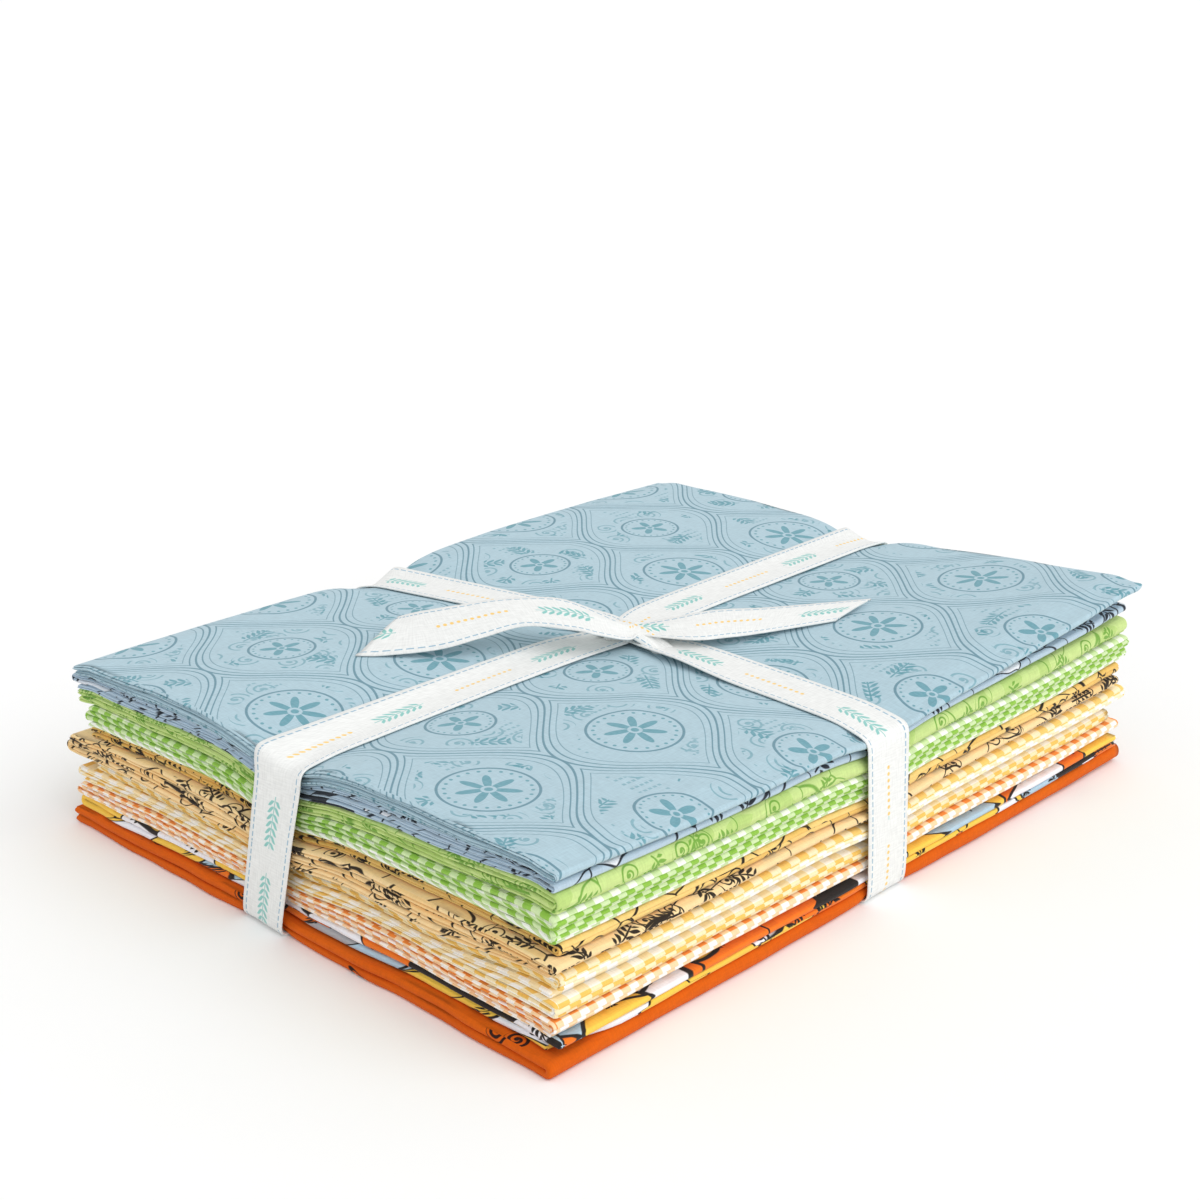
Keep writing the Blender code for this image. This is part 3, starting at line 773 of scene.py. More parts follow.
def passGrid(band):
    # points of one pass, row by row round the pile and column by column across the ribbon
    centre = (0.0, pile["middleHeight"])
    middle = passOutline(band, 0.0)
    bearings = np.sort(np.arctan2(middle[:, 1] - centre[1], middle[:, 0] - centre[0]))
    offsets = np.linspace(-ribbon["width"] / 2, ribbon["width"] / 2, ribbon["columns"])
    isX = band is alongX
    knotAlong, knotAcross = (knot["x"], knot["y"]) if isX else (knot["y"], knot["x"])
    narrow = knot["narrowX"] if isX else knot["narrowY"]
    columns = []
    for offset in offsets:
        line = atBearings(passOutline(band, offset), bearings, centre)
        along, z = line[:, 0], line[:, 1]
        isTop = z > centre[1]
        under = mixed(band["underLow"], band["underHigh"], along / band["halfRun"] / 2 + 0.5)
        nearKnot = np.exp(-(((along - knotAlong) / knot["narrowReach"]) ** 2)) * isTop
        middleTop = middleLine(band, along)
        across = mixed(under, middleTop, np.clip(z / pile["topHeight"], 0, 1))
        drawn = (knotAcross - middleTop) * knot["pull"] * nearKnot
        across = across + offset * (1 - narrow * nearKnot) + drawn
        z = z + knot["ripple"] * nearKnot * (1 + np.cos(0.36 * math.pi * offset + 0.8))
        if not isX:
            top, foot, lift = ribbon["topRise"], ribbon["footRise"], knot["edgeLift"]
            z = z + top["high"] * np.exp(-(((along - top["at"]) / top["reach"]) ** 2)) * isTop
            z = z + foot["high"] * np.exp(-(((along - foot["at"]) / foot["reach"]) ** 4)) * (z < centre[1])
            lifted = np.exp(-(((along - knotAlong + lift["behind"]) / lift["reach"]) ** 2))
            nearSide = np.clip(-offset / ribbon["width"] * 2, 0, 1) ** 1.5
            z = z + lift["high"] * lifted * nearSide * isTop * (along < knotAlong)
        columns.append(np.stack([along, across, z] if isX else [across, along, z], axis=-1))
    return np.stack(columns, axis=1)


def gridNormals(grid, closed):
    if closed:
        lengthwise = np.roll(grid, -1, axis=0) - np.roll(grid, 1, axis=0)
    else:
        lengthwise = np.gradient(grid, axis=0)
    normals = np.cross(lengthwise, np.gradient(grid, axis=1))
    return normals / np.linalg.norm(normals, axis=-1, keepdims=True)


def stripMesh(name, grid, closed, planStart):
    # a thin strip with rounded sides, thickened evenly about the grid, and how far along the ribbon it ends
    normals = gridNormals(grid, closed)
    half = ribbon["thick"] / 2
    upper, lower = grid + normals * half, grid - normals * half
    sideways = np.gradient(grid, axis=1)
    sideways = sideways / np.linalg.norm(sideways, axis=-1, keepdims=True)
    right = grid[:, -1] + sideways[:, -1] * half
    left = grid[:, 0] - sideways[:, 0] * half
    rings = np.concatenate([upper, right[:, None], lower[:, ::-1], left[:, None]], axis=1)
    middle = grid[:, grid.shape[1] // 2]
    steps = np.linalg.norm(np.diff(np.vstack([middle, middle[:1]]), axis=0), axis=1)
    walked = planStart + np.concatenate([[0], np.cumsum(steps)])
    halfWidth = ribbon["width"] / 2
    across = np.linspace(-halfWidth, halfWidth, grid.shape[1])
    around = np.concatenate([across, [halfWidth], across[::-1], [-halfWidth]])
    alongs = [np.full(len(around), value) for value in walked]
    starts = [around] * len(walked)
    ends = [np.roll(around, -1)] * len(walked)
    mesh = ringMesh(name, rings, alongs, starts, ends, (grid.shape[1], 1), closed)
    return mesh, walked[-1 if closed else -2]


# The ribbon's free ends, from the knot outwards: x, y and z of the near edge, then of the far one
tails = dict(
    left=[
        (-3.6, -12.6, 61.4, 0.4, -6.0, 62.2),
        (-12.6, -16.6, 62.8, -6.6, -6.6, 65.6),
        (-21.9, -12.7, 66.0, -13.4, 1.0, 70.0),
        (-26.8, -5.6, 67.5, -18.9, 10.8, 72.0),
        (-35.6, 6.9, 68.0, -31.6, 22.4, 72.0),
        (-47.4, 15.2, 65.0, -42.1, 32.3, 70.0),
        (-59.3, 23.7, 62.0, -50.0, 40.5, 68.0),
        (-76.6, 41.2, 59.6, -54.2, 45.9, 66.0),
    ],
    right=[
        (-5.6, -11.6, 61.0, -0.8, -4.2, 62.0),
        (4.3, -28.2, 61.6, 12.0, -14.5, 63.8),
        (14.5, -34.0, 61.2, 25.5, -20.5, 64.0),
        (25.5, -38.7, 60.8, 41.5, -30.5, 63.2),
        (51.4, -49.2, 60.8, 74.0, -46.5, 61.6),
    ],
)


def splineThrough(values, count):
    # a smooth line through rows of values, with equal spacing between rows
    values = np.asarray(values, dtype=float)
    padded = np.vstack([2 * values[0] - values[1], values, 2 * values[-1] - values[-2]])
    places = np.linspace(0, len(values) - 1, count)
    index = np.minimum(places.astype(int), len(values) - 2)
    part = (places - index)[:, None]
    before, here, after, beyond = (padded[index + step] for step in range(4))
    return 0.5 * (
        2 * here + (after - before) * part
        + (2 * before - 5 * here + 4 * after - beyond) * part**2
        + (3 * here - before - 3 * after + beyond) * part**3
    )


def tailGrid(rows, bulge):
    line = splineThrough(rows, ribbon["tailRows"])
    near, far = line[:, :3], line[:, 3:]
    columns = []
    for share in np.linspace(0, 1, ribbon["columns"]):
        point = mixed(near, far, share)
        point[:, 2] += bulge * 4 * share * (1 - share)
        fromKnot = np.hypot(point[:, 0] - knot["x"], point[:, 1] - knot["y"])
        gather = np.clip(1 - fromKnot / knot["gatherReach"], 0, 1)
        point[:, 2] += knot["gatherHigh"] * gather * np.cos(3.2 * math.pi * share + 0.5)
        lowest = topOfPile(point[:, 0], point[:, 1]) + ribbon["clearance"] + ribbon["thick"]
        point[:, 2] = np.maximum(point[:, 2], lowest)
        columns.append(point)
    return np.stack(columns, axis=1)[:, ::-1]


def knotWrap():
    # the pass along Y is drawn together here, and lies over the bunch in pleats
    line = splineThrough(knot["wrap"], ribbon["wrapRows"])
    seat = topOfPile(line[:, 0], line[:, 1])
    gathered = 1 - line[:, 3] / ribbon["width"]
    columns = []
    for share in np.linspace(-1, 1, ribbon["wrapColumns"]):
        bend = 2.6 * math.pi * share + 0.6 + 0.09 * line[:, 1]
        pleat = gathered * (0.8 * np.cos(bend) + 0.45 * np.cos(2.3 * bend + 1.0))
        x = line[:, 0] + share * line[:, 3] / 2
        z = seat + line[:, 2] + pleat - 3.4 * gathered * share**2
        columns.append(np.stack([x, line[:, 1] + 0.8 * share, z], axis=-1))
    return np.stack(columns, axis=1)


def knotBody():
    # the bunch under the wrap: a ridged egg
    turn = math.radians(knot["turn"])
    seat = float(topOfPile(knot["x"], knot["y"])) + knot["seat"]
    rings = []
    count, rows = 28, 31
    angles = np.linspace(0, 2 * math.pi, count, endpoint=False)
    for share in np.linspace(-0.985, 0.985, rows):
        radius = math.sqrt(1 - share**2) ** 0.8
        ridge = 1 + sum(high * np.sin(many * angles + twist * share) for high, many, twist in knot["ridges"])
        along = knot["long"] * share
        side = knot["short"] * radius * ridge * np.cos(angles)
        up = np.maximum(knot["high"] * radius * ridge * np.sin(angles), knot["flatBelow"])
        x = knot["x"] + along * math.cos(turn) - side * math.sin(turn)
        y = knot["y"] + along * math.sin(turn) + side * math.cos(turn)
        rings.append(np.stack([x, y, seat + knot["middle"] + up], axis=-1))
    plan = [np.abs(np.linspace(-knot["printWidth"], knot["printWidth"], count))] * rows
    alongs = [np.full(count, knot["printLength"] * row / rows) for row in range(rows + 1)]
    return ringMesh("knotBody", np.array(rings), alongs, plan, plan, (count // 2 - 1, 1), False)


def joinedObject(name, meshes):
    parts = [linked(name, mesh) for mesh in meshes]
    with bpy.context.temp_override(active_object=parts[0], selected_editable_objects=parts, object=parts[0]):
        bpy.ops.object.join()
    parts[0].name = name
    return parts[0]


def makeRibbon():
    strips = [
        ("ribbonPass", passGrid(alongX), True),
        ("ribbonPass", passGrid(alongY), True),
        ("ribbonTail", tailGrid(tails["left"], 0.5), False),
        ("ribbonTail", tailGrid(tails["right"], 0.3), False),
        ("ribbonWrap", knotWrap(), False),
    ]
    meshes, length = [], 0.0
    for name, grid, closed in strips:
        mesh, length = stripMesh(name, grid, closed, length)
        meshes.append(mesh)
    ribbon["flatLength"] = length
    return joinedObject(ribbon["piece"], meshes + [knotBody()])


# Node trees: a Wire is a value in a tree, so that sums on the cloth's plan read as sums
class Wire:
    def __init__(self, tree, socket):
        self.tree, self.socket = tree, socket

    def __add__(self, other):
        return calc("ADD", self, other)

    __radd__ = __add__

    def __sub__(self, other):
        return calc("SUBTRACT", self, other)

    def __rsub__(self, other):
        return calc("SUBTRACT", other, self)

    def __mul__(self, other):
        return calc("MULTIPLY", self, other)

    __rmul__ = __mul__

    def __truediv__(self, other):
        return calc("DIVIDE", self, other)


def treeOf(values):
    return next(value.tree for value in values if isinstance(value, Wire))


def feed(tree, socket, value):
    if isinstance(value, Wire):
        tree.links.new(value.socket, socket)
    elif hasattr(value, "__len__") and len(value) == 3 and socket.type == "RGBA":
        socket.default_value = (*value, 1.0)
    else:
        socket.default_value = value


def calc(operation, *values):
    tree = treeOf(values)
    node = tree.nodes.new("ShaderNodeMath")
    node.operation = operation
    for socket, value in zip(node.inputs, values):
        feed(tree, socket, value)
    return Wire(tree, node.outputs[0])


def below(value, limit, soft=0.12):
    # 1 where the value is under the limit, 0 where it is over, soft between
    tree = treeOf((value, limit))
    node = tree.nodes.new("ShaderNodeMapRange")
    node.interpolation_type = "SMOOTHSTEP"
    feed(tree, node.inputs["Value"], value - limit)
    node.inputs["From Min"].default_value = soft
    node.inputs["From Max"].default_value = -soft
    return Wire(tree, node.outputs[0])


def away(value):
    return calc("ABSOLUTE", value)


def fromMiddle(value, period):
    # place in a repeat, measured from its middle
    return (calc("FRACT", value / period) - 0.5) * period


def cycle(value, period):
    return away(fromMiddle(value, period))


def distance(one, other):
    return calc("SQRT", one * one + other * other)


def most(*masks):
    result = masks[0]
    for mask in masks[1:]:
        result = calc("MAXIMUM", result, mask)
    return result


def blended(factor, low, high):
    tree = treeOf((factor, low, high))
    node = tree.nodes.new("ShaderNodeMix")
    node.data_type = "RGBA"
    feed(tree, node.inputs[0], factor)
    feed(tree, node.inputs[6], low)
    feed(tree, node.inputs[7], high)
    return Wire(tree, node.outputs[2])


def joinedPlan(across, along, third=0.0):
    tree = treeOf((across, along))
    node = tree.nodes.new("ShaderNodeCombineXYZ")
    for socket, value in zip(node.inputs, (across, along, third)):
        feed(tree, socket, value)
    return Wire(tree, node.outputs[0])


def chance(across, along, seed):
    tree = treeOf((across, along))
    node = tree.nodes.new("ShaderNodeTexWhiteNoise")
    feed(tree, node.inputs["Vector"], joinedPlan(across, along, seed))
    return Wire(tree, node.outputs["Value"])


def grain(across, along, size, detail=2.0, seed=0.0):
    tree = treeOf((across, along))
    node = tree.nodes.new("ShaderNodeTexNoise")
    feed(tree, node.inputs["Vector"], joinedPlan(across / size, along / size, seed))
    node.inputs["Scale"].default_value = 1.0
    node.inputs["Detail"].default_value = detail
    return Wire(tree, node.outputs[0])


def newGroup(name, build, inputs, *outputs):
    tree = bpy.data.node_groups.new(name, "ShaderNodeTree")
    for label, default in inputs.items():
        isColour = hasattr(default, "__len__")
        kind = "NodeSocketColor" if isColour else "NodeSocketFloat"
        socket = tree.interface.new_socket(label, in_out="INPUT", socket_type=kind)
        socket.default_value = (*default, 1.0) if isColour else default
    for label in outputs:
        kind = "NodeSocketColor" if label == "Color" else "NodeSocketFloat"
        tree.interface.new_socket(label, in_out="OUTPUT", socket_type=kind)
    entry = tree.nodes.new("NodeGroupInput")
    leave = tree.nodes.new("NodeGroupOutput")
    results = build(*[Wire(tree, entry.outputs[label]) for label in inputs])
    for label, result in zip(outputs, results):
        tree.links.new(result.socket, leave.inputs[label])
    return tree


def place(group, tree, **values):
    node = tree.nodes.new("ShaderNodeGroup")
    node.node_tree = group
    for label, value in values.items():
        feed(tree, node.inputs[label], value)
    return [Wire(tree, output) for output in node.outputs]


planInputs = dict(Across=0.0, Along=0.0)


def buildWeave(across, along, pitch):
    turn = 2 * math.pi
    threads = calc("SINE", across * turn / pitch) * calc("SINE", along * turn / pitch)
    slubs = grain(across, along * 0.12, 0.5, 1.0) + grain(across * 0.12, along, 0.5, 1.0, 4.0)
    height = threads * 0.5 + slubs * 0.6
    return height, (slubs - 1.0) * 0.22 + 1.0


def buildGingham(across, along, repeat, white, half, full):
    warp = below(cycle(across, repeat), repeat * 0.25, 0.12)
    weft = below(cycle(along, repeat), repeat * 0.25, 0.12)
    twoTone = blended(calc("MINIMUM", warp, weft), blended(most(warp, weft), white, half), full)
    return (twoTone,)


def buildCell(across, along, cell, seed):
    # a brick layout of cells, each with its own turn: local place in mm, and a chance
    row = calc("FLOOR", along / cell)
    shifted = across + calc("FLOORED_MODULO", row, 2.0) * cell * 0.5
    column = calc("FLOOR", shifted / cell)
    luck = chance(column, row, seed)
    other = chance(column, row, seed + 7.3)
    x = shifted - (column + 0.5) * cell + (other - 0.5) * cell * 0.2
    y = along - (row + 0.5) * cell + (luck - 0.5) * cell * 0.2
    angle = other * (2 * math.pi)
    cosine, sine = calc("COSINE", angle), calc("SINE", angle)
    return x * cosine - y * sine, x * sine + y * cosine, luck


def buildSprig(across, along, cell, seed, likely):
    # a stem with slanted pairs of leaves, in the cells that have one
    x, y, luck = place(cellGroup, across.tree, Across=across, Along=along, Cell=cell, Seed=seed)
    side = away(x)
    leafLength = cell * 0.2
    pitch = cell * 0.15
    width = calc("SINE", calc("MINIMUM", side / leafLength, 1.0) * math.pi) * 0.36
    leaf = below(away(calc("FRACT", (y - side * 0.8) / pitch) - 0.5), width, 0.08)
    leaf = leaf * below(side, leafLength, 0.1) * below(away(y), cell * 0.3, 0.2)
    stem = below(side, 0.3, 0.12) * below(away(y + cell * 0.06), cell * 0.36, 0.2)
    return (most(leaf, stem) * below(luck, likely, 0.001),)


def buildCurl(across, along, cell, size, seed, likely, line):
    # a spiral line that ends in a dot
    x, y, luck = place(cellGroup, across.tree, Across=across, Along=along, Cell=cell, Seed=seed)
    radius = distance(x, y)
    pitch = size * 0.25
    turn = calc("ARCTAN2", y, x) / (2 * math.pi)
    arm = below(away(calc("FRACT", radius / pitch - turn) - 0.5) * pitch, line, 0.12)
    ring = arm * below(radius, size * 0.5, 0.1)
    dot = below(radius, size * 0.09, 0.12)
    return (most(ring, dot) * below(luck, likely, 0.001),)


def buildBlossom(x, y, size, petals):
    # a flower seen from above: petals, an eye, and a ring of dots round it
    radius = distance(x, y)
    angle = calc("ARCTAN2", y, x)
    edge = size * (0.62 + 0.38 * calc("COSINE", angle * petals))
    petal = below(radius, edge, 0.25) - below(radius, size * 0.24, 0.2)
    eye = below(radius, size * 0.13, 0.2)
    ringRadius = size * 1.28
    arc = cycle(angle, math.pi / 12) * ringRadius
    gap = distance(ringRadius * math.pi / 24 - arc, radius - ringRadius)
    return most(petal, eye, below(gap, size * 0.06, 0.15)), below(away(radius - size * 1.5), 0.42, 0.12)


weaveGroup = newGroup("cottonWeave", buildWeave, dict(planInputs, Pitch=0.42), "Height", "Shade")
white = (1.0, 1.0, 1.0)
ginghamInputs = dict(planInputs, Repeat=6.35, White=white, Half=white, Full=white)
ginghamGroup = newGroup("gingham", buildGingham, ginghamInputs, "Color")
cellGroup = newGroup("scatteredCell", buildCell, dict(planInputs, Cell=20.0, Seed=0.0), "X", "Y", "Luck")
sprigGroup = newGroup("leafSprig", buildSprig, dict(planInputs, Cell=20.0, Seed=0.0, Likely=1.0), "Mask")
curlGroup = newGroup(
    "curl", buildCurl, dict(planInputs, Cell=20.0, Size=12.0, Seed=0.0, Likely=1.0, Line=0.35), "Mask"
)
blossomGroup = newGroup("blossom", buildBlossom, dict(X=0.0, Y=0.0, Size=8.0, Petals=6.0), "Mask", "Ring")


def sprigs(across, along, cell, seed, likely):
    return place(sprigGroup, across.tree, Across=across, Along=along, Cell=cell, Seed=seed, Likely=likely)[0]


def curls(across, along, cell, size, seed, likely, line):
    values = dict(Cell=cell, Size=size, Seed=seed, Likely=likely, Line=line)
    return place(curlGroup, across.tree, Across=across, Along=along, **values)[0]


def shade(red, green, blue):
    # a colour as seen on screen, made linear
    parts = (red, green, blue)
    return tuple(((part / 255 + 0.055) / 1.055) ** 2.4 if part > 10 else part / 3294 for part in parts)


finish = dict(roughness=0.88, sheen=0.15, sheenRoughness=0.5, specular=0.25, weaveStrength=0.5, pitch=0.42,
              bumpDepth=0.00012, wrinkleSize=9.0, wrinkleHeight=2.2)


def finishMaterial(name, paint, **changed):
    # paint(across, along) gives the printed colour; the weave is the same for all
    use = dict(finish, **changed)
    material = bpy.data.materials.new(name)
    material.use_nodes = True
    tree = material.node_tree
    shader = tree.nodes["Principled BSDF"]
    plan = tree.nodes.new("ShaderNodeUVMap")
    plan.uv_map = "clothPlan"
    split = tree.nodes.new("ShaderNodeSeparateXYZ")
    tree.links.new(plan.outputs[0], split.inputs[0])
    across, along = (Wire(tree, split.outputs[axis]) * 1000.0 for axis in (0, 1))
    height, tone = place(weaveGroup, tree, Across=across, Along=along, Pitch=use["pitch"])
    toned = tree.nodes.new("ShaderNodeMix")
    toned.data_type = "RGBA"
    toned.blend_type = "MULTIPLY"
    toned.inputs[0].default_value = 1.0
    tree.links.new(paint(across, along).socket, toned.inputs[6])
    tree.links.new(joinedPlan(tone, tone, tone).socket, toned.inputs[7])
    tree.links.new(toned.outputs[2], shader.inputs["Base Color"])
    shader.inputs["Roughness"].default_value = use["roughness"]
    shader.inputs["Sheen Weight"].default_value = use["sheen"]
    shader.inputs["Sheen Roughness"].default_value = use["sheenRoughness"]
    shader.inputs["Specular IOR Level"].default_value = use["specular"]
    bump = tree.nodes.new("ShaderNodeBump")
    bump.inputs["Strength"].default_value = use["weaveStrength"]
    bump.inputs["Distance"].default_value = use["bumpDepth"]
    wrinkle = grain(across, along, use["wrinkleSize"], 3.0, 2.0)
    tree.links.new((height * 0.6 + wrinkle * use["wrinkleHeight"]).socket, bump.inputs["Height"])
    tree.links.new(bump.outputs[0], shader.inputs["Normal"])
    return material


def bentCells(across, along, cell, seed, feature):
    # uneven cells with wavering borders
    tree = across.tree
    node = tree.nodes.new("ShaderNodeTexVoronoi")
    node.feature = feature
    bendX, bendY = (grain(across, along, cell * 0.9, 1.0, seed + more) * cell * 0.7 for more in (0.0, 3.0))
    feed(tree, node.inputs["Vector"], joinedPlan((across + bendX) / cell, (along + bendY) / cell, seed))
    node.inputs["Scale"].default_value = 1.0
    return node


def vines(across, along, cell, line, seed):
    node = bentCells(across, along, cell, seed, "DISTANCE_TO_EDGE")
    return below(Wire(across.tree, node.outputs["Distance"]) * cell, line, 0.12)


def patches(across, along, cell, seed):
    # two chances for each cell
    luck = across.tree.nodes.new("ShaderNodeSeparateColor")
    across.tree.links.new(bentCells(across, along, cell, seed, "F1").outputs["Color"], luck.inputs[0])
    return Wire(across.tree, luck.outputs[0]), Wire(across.tree, luck.outputs[1])


def patched(ground, *layers):
    # another colour in the cells whose chance is under a limit
    for luck, limit, colour in layers:
        ground = blended(below(luck, limit, 0.001), ground, colour)
    return ground


skyColours = dict(base=shade(175, 201, 212), line=shade(96, 138, 154), solid=shade(92, 152, 166))
skyTrellis = dict(
    wide=58.0, tall=84.0,
    lines=((0.0, 0.44, 1.0), (2.6, 0.3, 1.0), (5.4, 0.2, 0.8)),  # from the border, half width, strength
    first=dict(Size=9.5, Petals=7.0), second=dict(Size=7.0, Petals=5.0), firstClear=17.0, secondClear=13.0,
    shownFrom=-140.0, shownTo=143.5,  # the print stops before the cut sides
)


def paintSky(across, along):
    # a trellis of curved diamonds in fine triple lines, with a flower in each, and leaves and curls between
    tree, wide, tall = across.tree, skyTrellis["wide"], skyTrellis["tall"]
    drift = grain(across, along, 40.0, 1.0, 9.0) * 1.5
    wave = calc("COSINE", (along + drift) * (2 * math.pi / tall))
    gap = away(cycle(across + wide / 2 + drift, wide) - wide / 4 - wave * (wide / 4))
    lines = most(*[below(away(gap - at), half) * strong for at, half, strong in skyTrellis["lines"]])
    firstX, firstY = fromMiddle(across + wide / 2, wide), fromMiddle(along + tall / 2, tall)
    secondX, secondY = fromMiddle(across + drift, wide), fromMiddle(along, tall)
    bloom, ring = place(blossomGroup, tree, X=firstX, Y=firstY, **skyTrellis["first"])
    second, secondRing = place(blossomGroup, tree, X=secondX, Y=secondY, **skyTrellis["second"])
    clear = below(skyTrellis["firstClear"] - distance(firstX, firstY), 0.0, 0.4)
    clear = clear * below(skyTrellis["secondClear"] - distance(secondX, secondY), 0.0, 0.4)
    clear = below(8.4 - gap, 0.0, 0.3) * clear
    sprig = sprigs(across, along, 17.0, 3.0, 0.8)
    curl = curls(across + 5.0, along, 12.0, 10.0, 5.0, 0.6, 0.4)
    dashes = below(cycle(along, 3.1), 0.5) * below(cycle(across, 1.9), 0.62)
    dashes = dashes * below(calc("FRACT", across / 29.0), 0.3, 0.01)
    solid = most(bloom, second, (sprig + curl * 0.7) * clear, dashes * clear * 0.6)
    shown = below(skyTrellis["shownFrom"] - across, 0.0, 0.8)
    shown = shown * below(across - skyTrellis["shownTo"], 0.0, 0.8)
    printed = blended(most(lines, ring, secondRing) * shown * 0.9, skyColours["base"], skyColours["line"])
    patchy = (grain(across, along, 1.2, 1.0, 3.0) * 0.3 + 0.75) * shown
    return blended(solid * 0.95 * patchy, printed, skyColours["solid"])


mistColours = dict(base=shade(188, 208, 223), ink=shade(38, 44, 54), white=shade(240, 243, 248))


def paintMist(across, along):
    luck, other = patches(across, along, 17.0, 1.0)
    marks = ((luck, 0.08, mistColours["white"]), (other, 0.035, mistColours["ink"]))
    ground = patched(mistColours["base"], *marks)
    drawn = most(vines(across, along, 17.0, 0.26, 1.0), sprigs(across, along, 17.0, 8.0, 0.22))
    return blended(drawn, ground, mistColours["ink"])


limeColours = dict(base=shade(202, 224, 142), mid=shade(166, 202, 100), deep=shade(110, 165, 55))


def paintLime(across, along):
    cloudy = below(patches(across, along, 9.0, 5.0)[0], 0.28, 0.001)
    ground = blended(cloudy * 0.45, limeColours["base"], limeColours["mid"])
    drawn = most(
        sprigs(across, along, 14.0, 2.0, 0.55),
        curls(across, along, 10.0, 7.0, 6.0, 0.4, 0.3),
        vines(across, along, 26.0, 0.2, 4.0),
    )
    return blended(drawn * 0.9, ground, limeColours["deep"])


def inkPrint(base, second, ink, seed, density):
    # black line drawing on a warm ground: leaves, curls, vines and a few filled patches
    def paint(across, along):
        drawn = most(
            sprigs(across, along, 16.0, seed, density),
            curls(across + 4.0, along, 11.0, 8.0, seed + 1.0, density, 0.26),
            vines(across, along, 20.0, 0.3, seed),
        )
        return blended(drawn, patched(base, (patches(across, along, 20.0, seed)[0], 0.3, second)), ink)
    return paint


def ginghamPrint(repeat, startAt, white, half, full):
    def paint(across, along):
        soft = grain(across, along, 30.0, 1.0, 5.0) * 0.8
        values = dict(Repeat=repeat, White=white, Half=half, Full=full)
        return place(ginghamGroup, across.tree, Across=across + (startAt + soft), Along=along, **values)[0]
    return paint


marigoldColours = dict(white=shade(243, 243, 248), yellow=shade(250, 205, 80), orange=shade(240, 120, 25),
                       ink=shade(35, 30, 28), blue=shade(178, 205, 222))


def paintMarigold(across, along):
    colours = marigoldColours
    luck, other = patches(across, along, 24.0, 12.0)
    ground = patched(
        colours["orange"], (luck, 0.78, colours["yellow"]), (luck, 0.44, colours["white"]),
        (luck, 0.08, colours["blue"]), (other, 0.09, colours["ink"]),
    )
    drawn = most(vines(across, along, 24.0, 0.4, 12.0), sprigs(across, along, 15.0, 14.0, 0.4))
    return blended(drawn, ground, colours["ink"])


orangeColours = dict(base=shade(224, 104, 0), deep=shade(211, 86, 0), ink=shade(45, 22, 14))


def paintOrange(across, along):
    ground = blended(grain(across, along, 25.0, 2.0, 8.0), orangeColours["base"], orangeColours["deep"])
    return blended(curls(across, along, 27.0, 7.5, 4.0, 0.55, 0.5), ground, orangeColours["ink"])


ribbonColours = dict(base=shade(236, 237, 235), stitch=shade(140, 178, 200), teal=shade(96, 190, 182),
                     yellow=shade(248, 200, 84))
ribbonPrint = dict(
    stitchAt=7.9, stitchPitch=2.5, stitchHalf=0.85, repeat=64.0,
    sprigAt=18.0, leaf=2.6, leafPitch=2.4, dotsAt=48.0, dotsReach=12.0, dotPitch=2.2,
)


def paintRibbon(across, along):
    # stitched edges, and along the middle a small repeat of a leaf sprig and a row of dots
    use, side = ribbonPrint, away(across)
    stitchLine = below(away(side - use["stitchAt"]), 0.24, 0.08)
    stitchLine = stitchLine * below(cycle(along, use["stitchPitch"]), use["stitchHalf"], 0.1)
    inRepeat = calc("FRACT", along / use["repeat"]) * use["repeat"]
    fromSprig, fromDots = inRepeat - use["sprigAt"], away(inRepeat - use["dotsAt"])
    width = calc("SINE", calc("MINIMUM", side / use["leaf"], 1.0) * math.pi) * 0.34
    leaf = below(away(calc("FRACT", (fromSprig - side * 0.9) / use["leafPitch"]) - 0.5), width, 0.1)
    leaf = leaf * below(side, use["leaf"], 0.1) * below(away(fromSprig), 8.0, 0.2)
    stem = below(side, 0.16, 0.1) * below(away(fromSprig), 9.5, 0.2)
    dots = below(distance(cycle(along, use["dotPitch"]), side), 0.62, 0.12)
    dots = dots * below(fromDots, use["dotsReach"], 0.2)
    colour = blended(stitchLine * 0.9, ribbonColours["base"], ribbonColours["stitch"])
    colour = blended(most(leaf, stem) * 0.8, colour, ribbonColours["teal"])
    return blended(dots * 0.85, colour, ribbonColours["yellow"])


paints = dict(
    sky_print=paintSky,
    mist_print=paintMist,
    lime_print=paintLime,
    green_gingham=ginghamPrint(6.35, 5.6, shade(252, 254, 247), shade(212, 233, 178), shade(146, 196, 74)),
    gold_print=inkPrint(shade(243, 207, 128), shade(236, 192, 106), shade(36, 26, 18), 21.0, 0.5),
    tan_print=inkPrint(shade(249, 217, 162), shade(246, 207, 144), shade(42, 32, 22), 27.0, 0.4),
    yellow_gingham=ginghamPrint(8.3, 6.4, shade(254, 252, 248), shade(254, 239, 198), shade(249, 208, 114)),
    honey_gingham=ginghamPrint(8.3, 4.4, shade(254, 251, 245), shade(254, 236, 192), shade(247, 200, 100)),
    orange_gingham=ginghamPrint(6.35, 5.0, shade(254, 250, 246), shade(253, 217, 172), shade(239, 140, 54)),
    marigold_print=paintMarigold,
    orange_print=paintOrange,
)


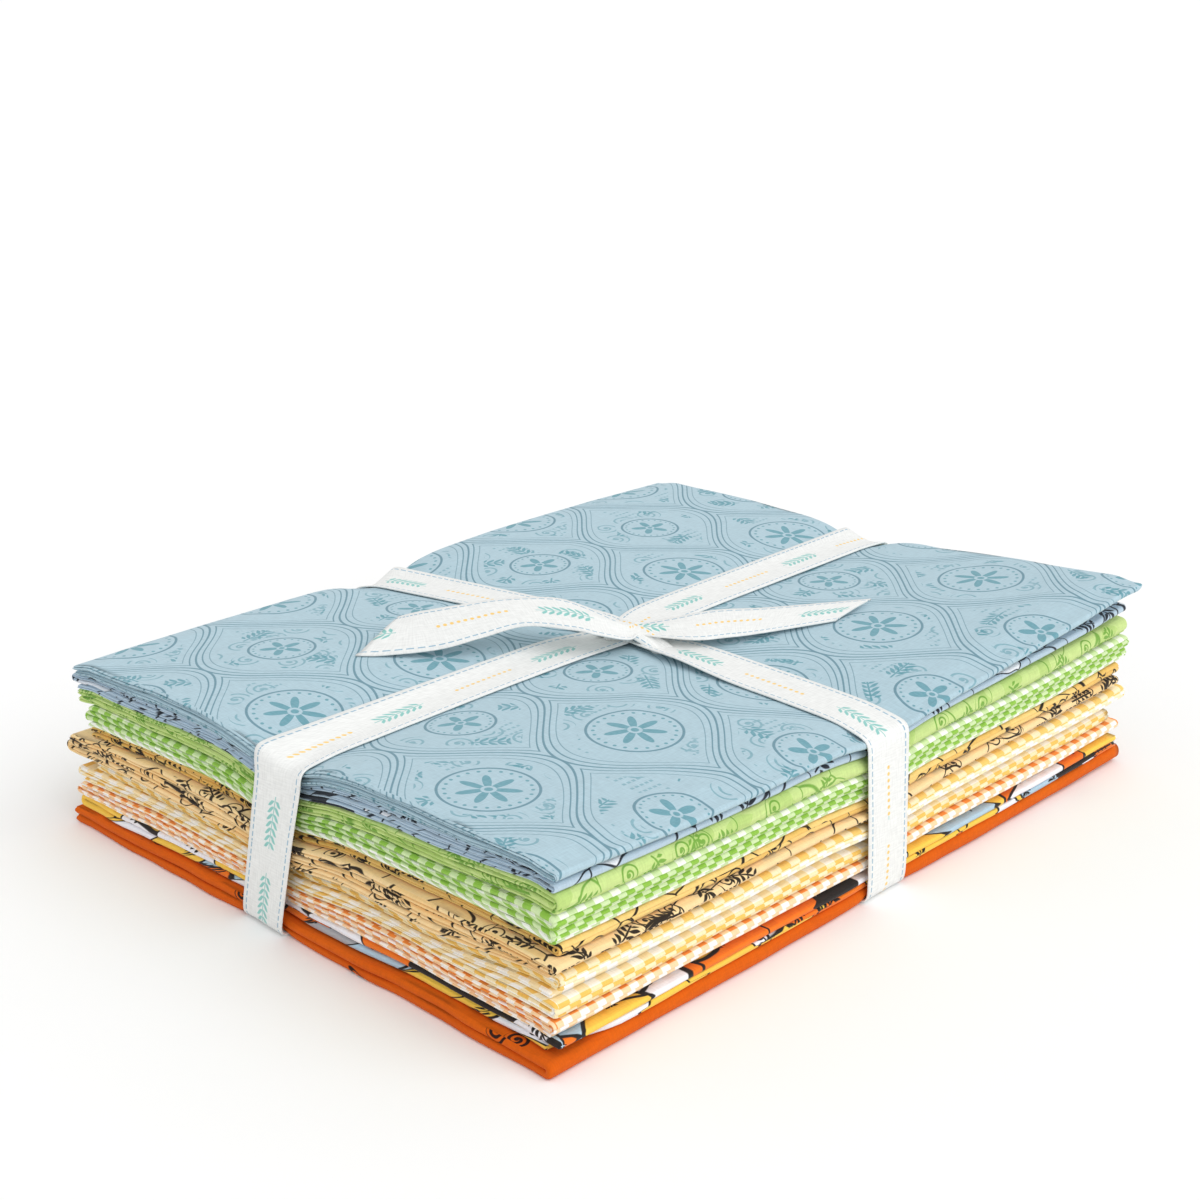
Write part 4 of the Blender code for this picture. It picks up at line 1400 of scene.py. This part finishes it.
def declared(made, piece, width):
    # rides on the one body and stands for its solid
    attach(made, "root")
    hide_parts(piece["node"])
    width * toMetres
    piece["flatLength"] * toMetres
    print("made:", piece["piece"], len(made.data.polygons))


# Cloths, each on the one below
for index, cloth in enumerate(cloths):
    made = makeCloth(index)
    material = finishMaterial(cloth["slot"] + "_finish", paints[cloth["name"]], sheen=cloth["sheen"])
    made.data.materials.append(material)
    declared(made, cloth, pile["length"])

ribbonMade = makeRibbon()
ribbonMade.data.materials.clear()
twill = dict(roughness=0.55, sheen=0.1, weaveStrength=0.3, pitch=0.5)
ribbonMade.data.materials.append(finishMaterial("ribbon_twill_finish", paintRibbon, **twill))
declared(ribbonMade, ribbon, ribbon["width"])


# Floor and light
studio = dict(
    floorSize=30.0,
    floorColour=shade(250, 250, 250),
    floorRoughness=0.9,
    world=0.77,
    sun=dict(azimuth=7.0, elevation=48.0, strength=1.3, softness=60.0),
)


def makeFloor():
    half = studio["floorSize"] / 2
    corners = [(-half, -half, 0), (half, -half, 0), (half, half, 0), (-half, half, 0)]
    mesh = bpy.data.meshes.new("floor")
    mesh.from_pydata(corners, [], [(0, 1, 2, 3)])
    material = bpy.data.materials.new("floorPaper")
    material.use_nodes = True
    shader = material.node_tree.nodes["Principled BSDF"]
    shader.inputs["Base Color"].default_value = (*studio["floorColour"], 1.0)
    shader.inputs["Roughness"].default_value = studio["floorRoughness"]
    mesh.materials.append(material)
    linked("floor", mesh)


def makeLights():
    # one broad soft light from the side of the folds, and an even white surround
    sun = studio["sun"]
    data = bpy.data.lights.new("window", "SUN")
    data.energy, data.angle = sun["strength"], math.radians(sun["softness"])
    light = linked("window", data)
    light.location = direction(sun) * 2
    aimed(light, direction(sun))
    world = bpy.data.worlds.new("studio")
    world.use_nodes = True
    background = world.node_tree.nodes["Background"]
    background.inputs["Color"].default_value = (1.0, 1.0, 1.0, 1.0)
    background.inputs["Strength"].default_value = studio["world"]
    scene.world = world
    scene.view_settings.view_transform = "Standard"


makeFloor()
makeLights()
print("studio made")
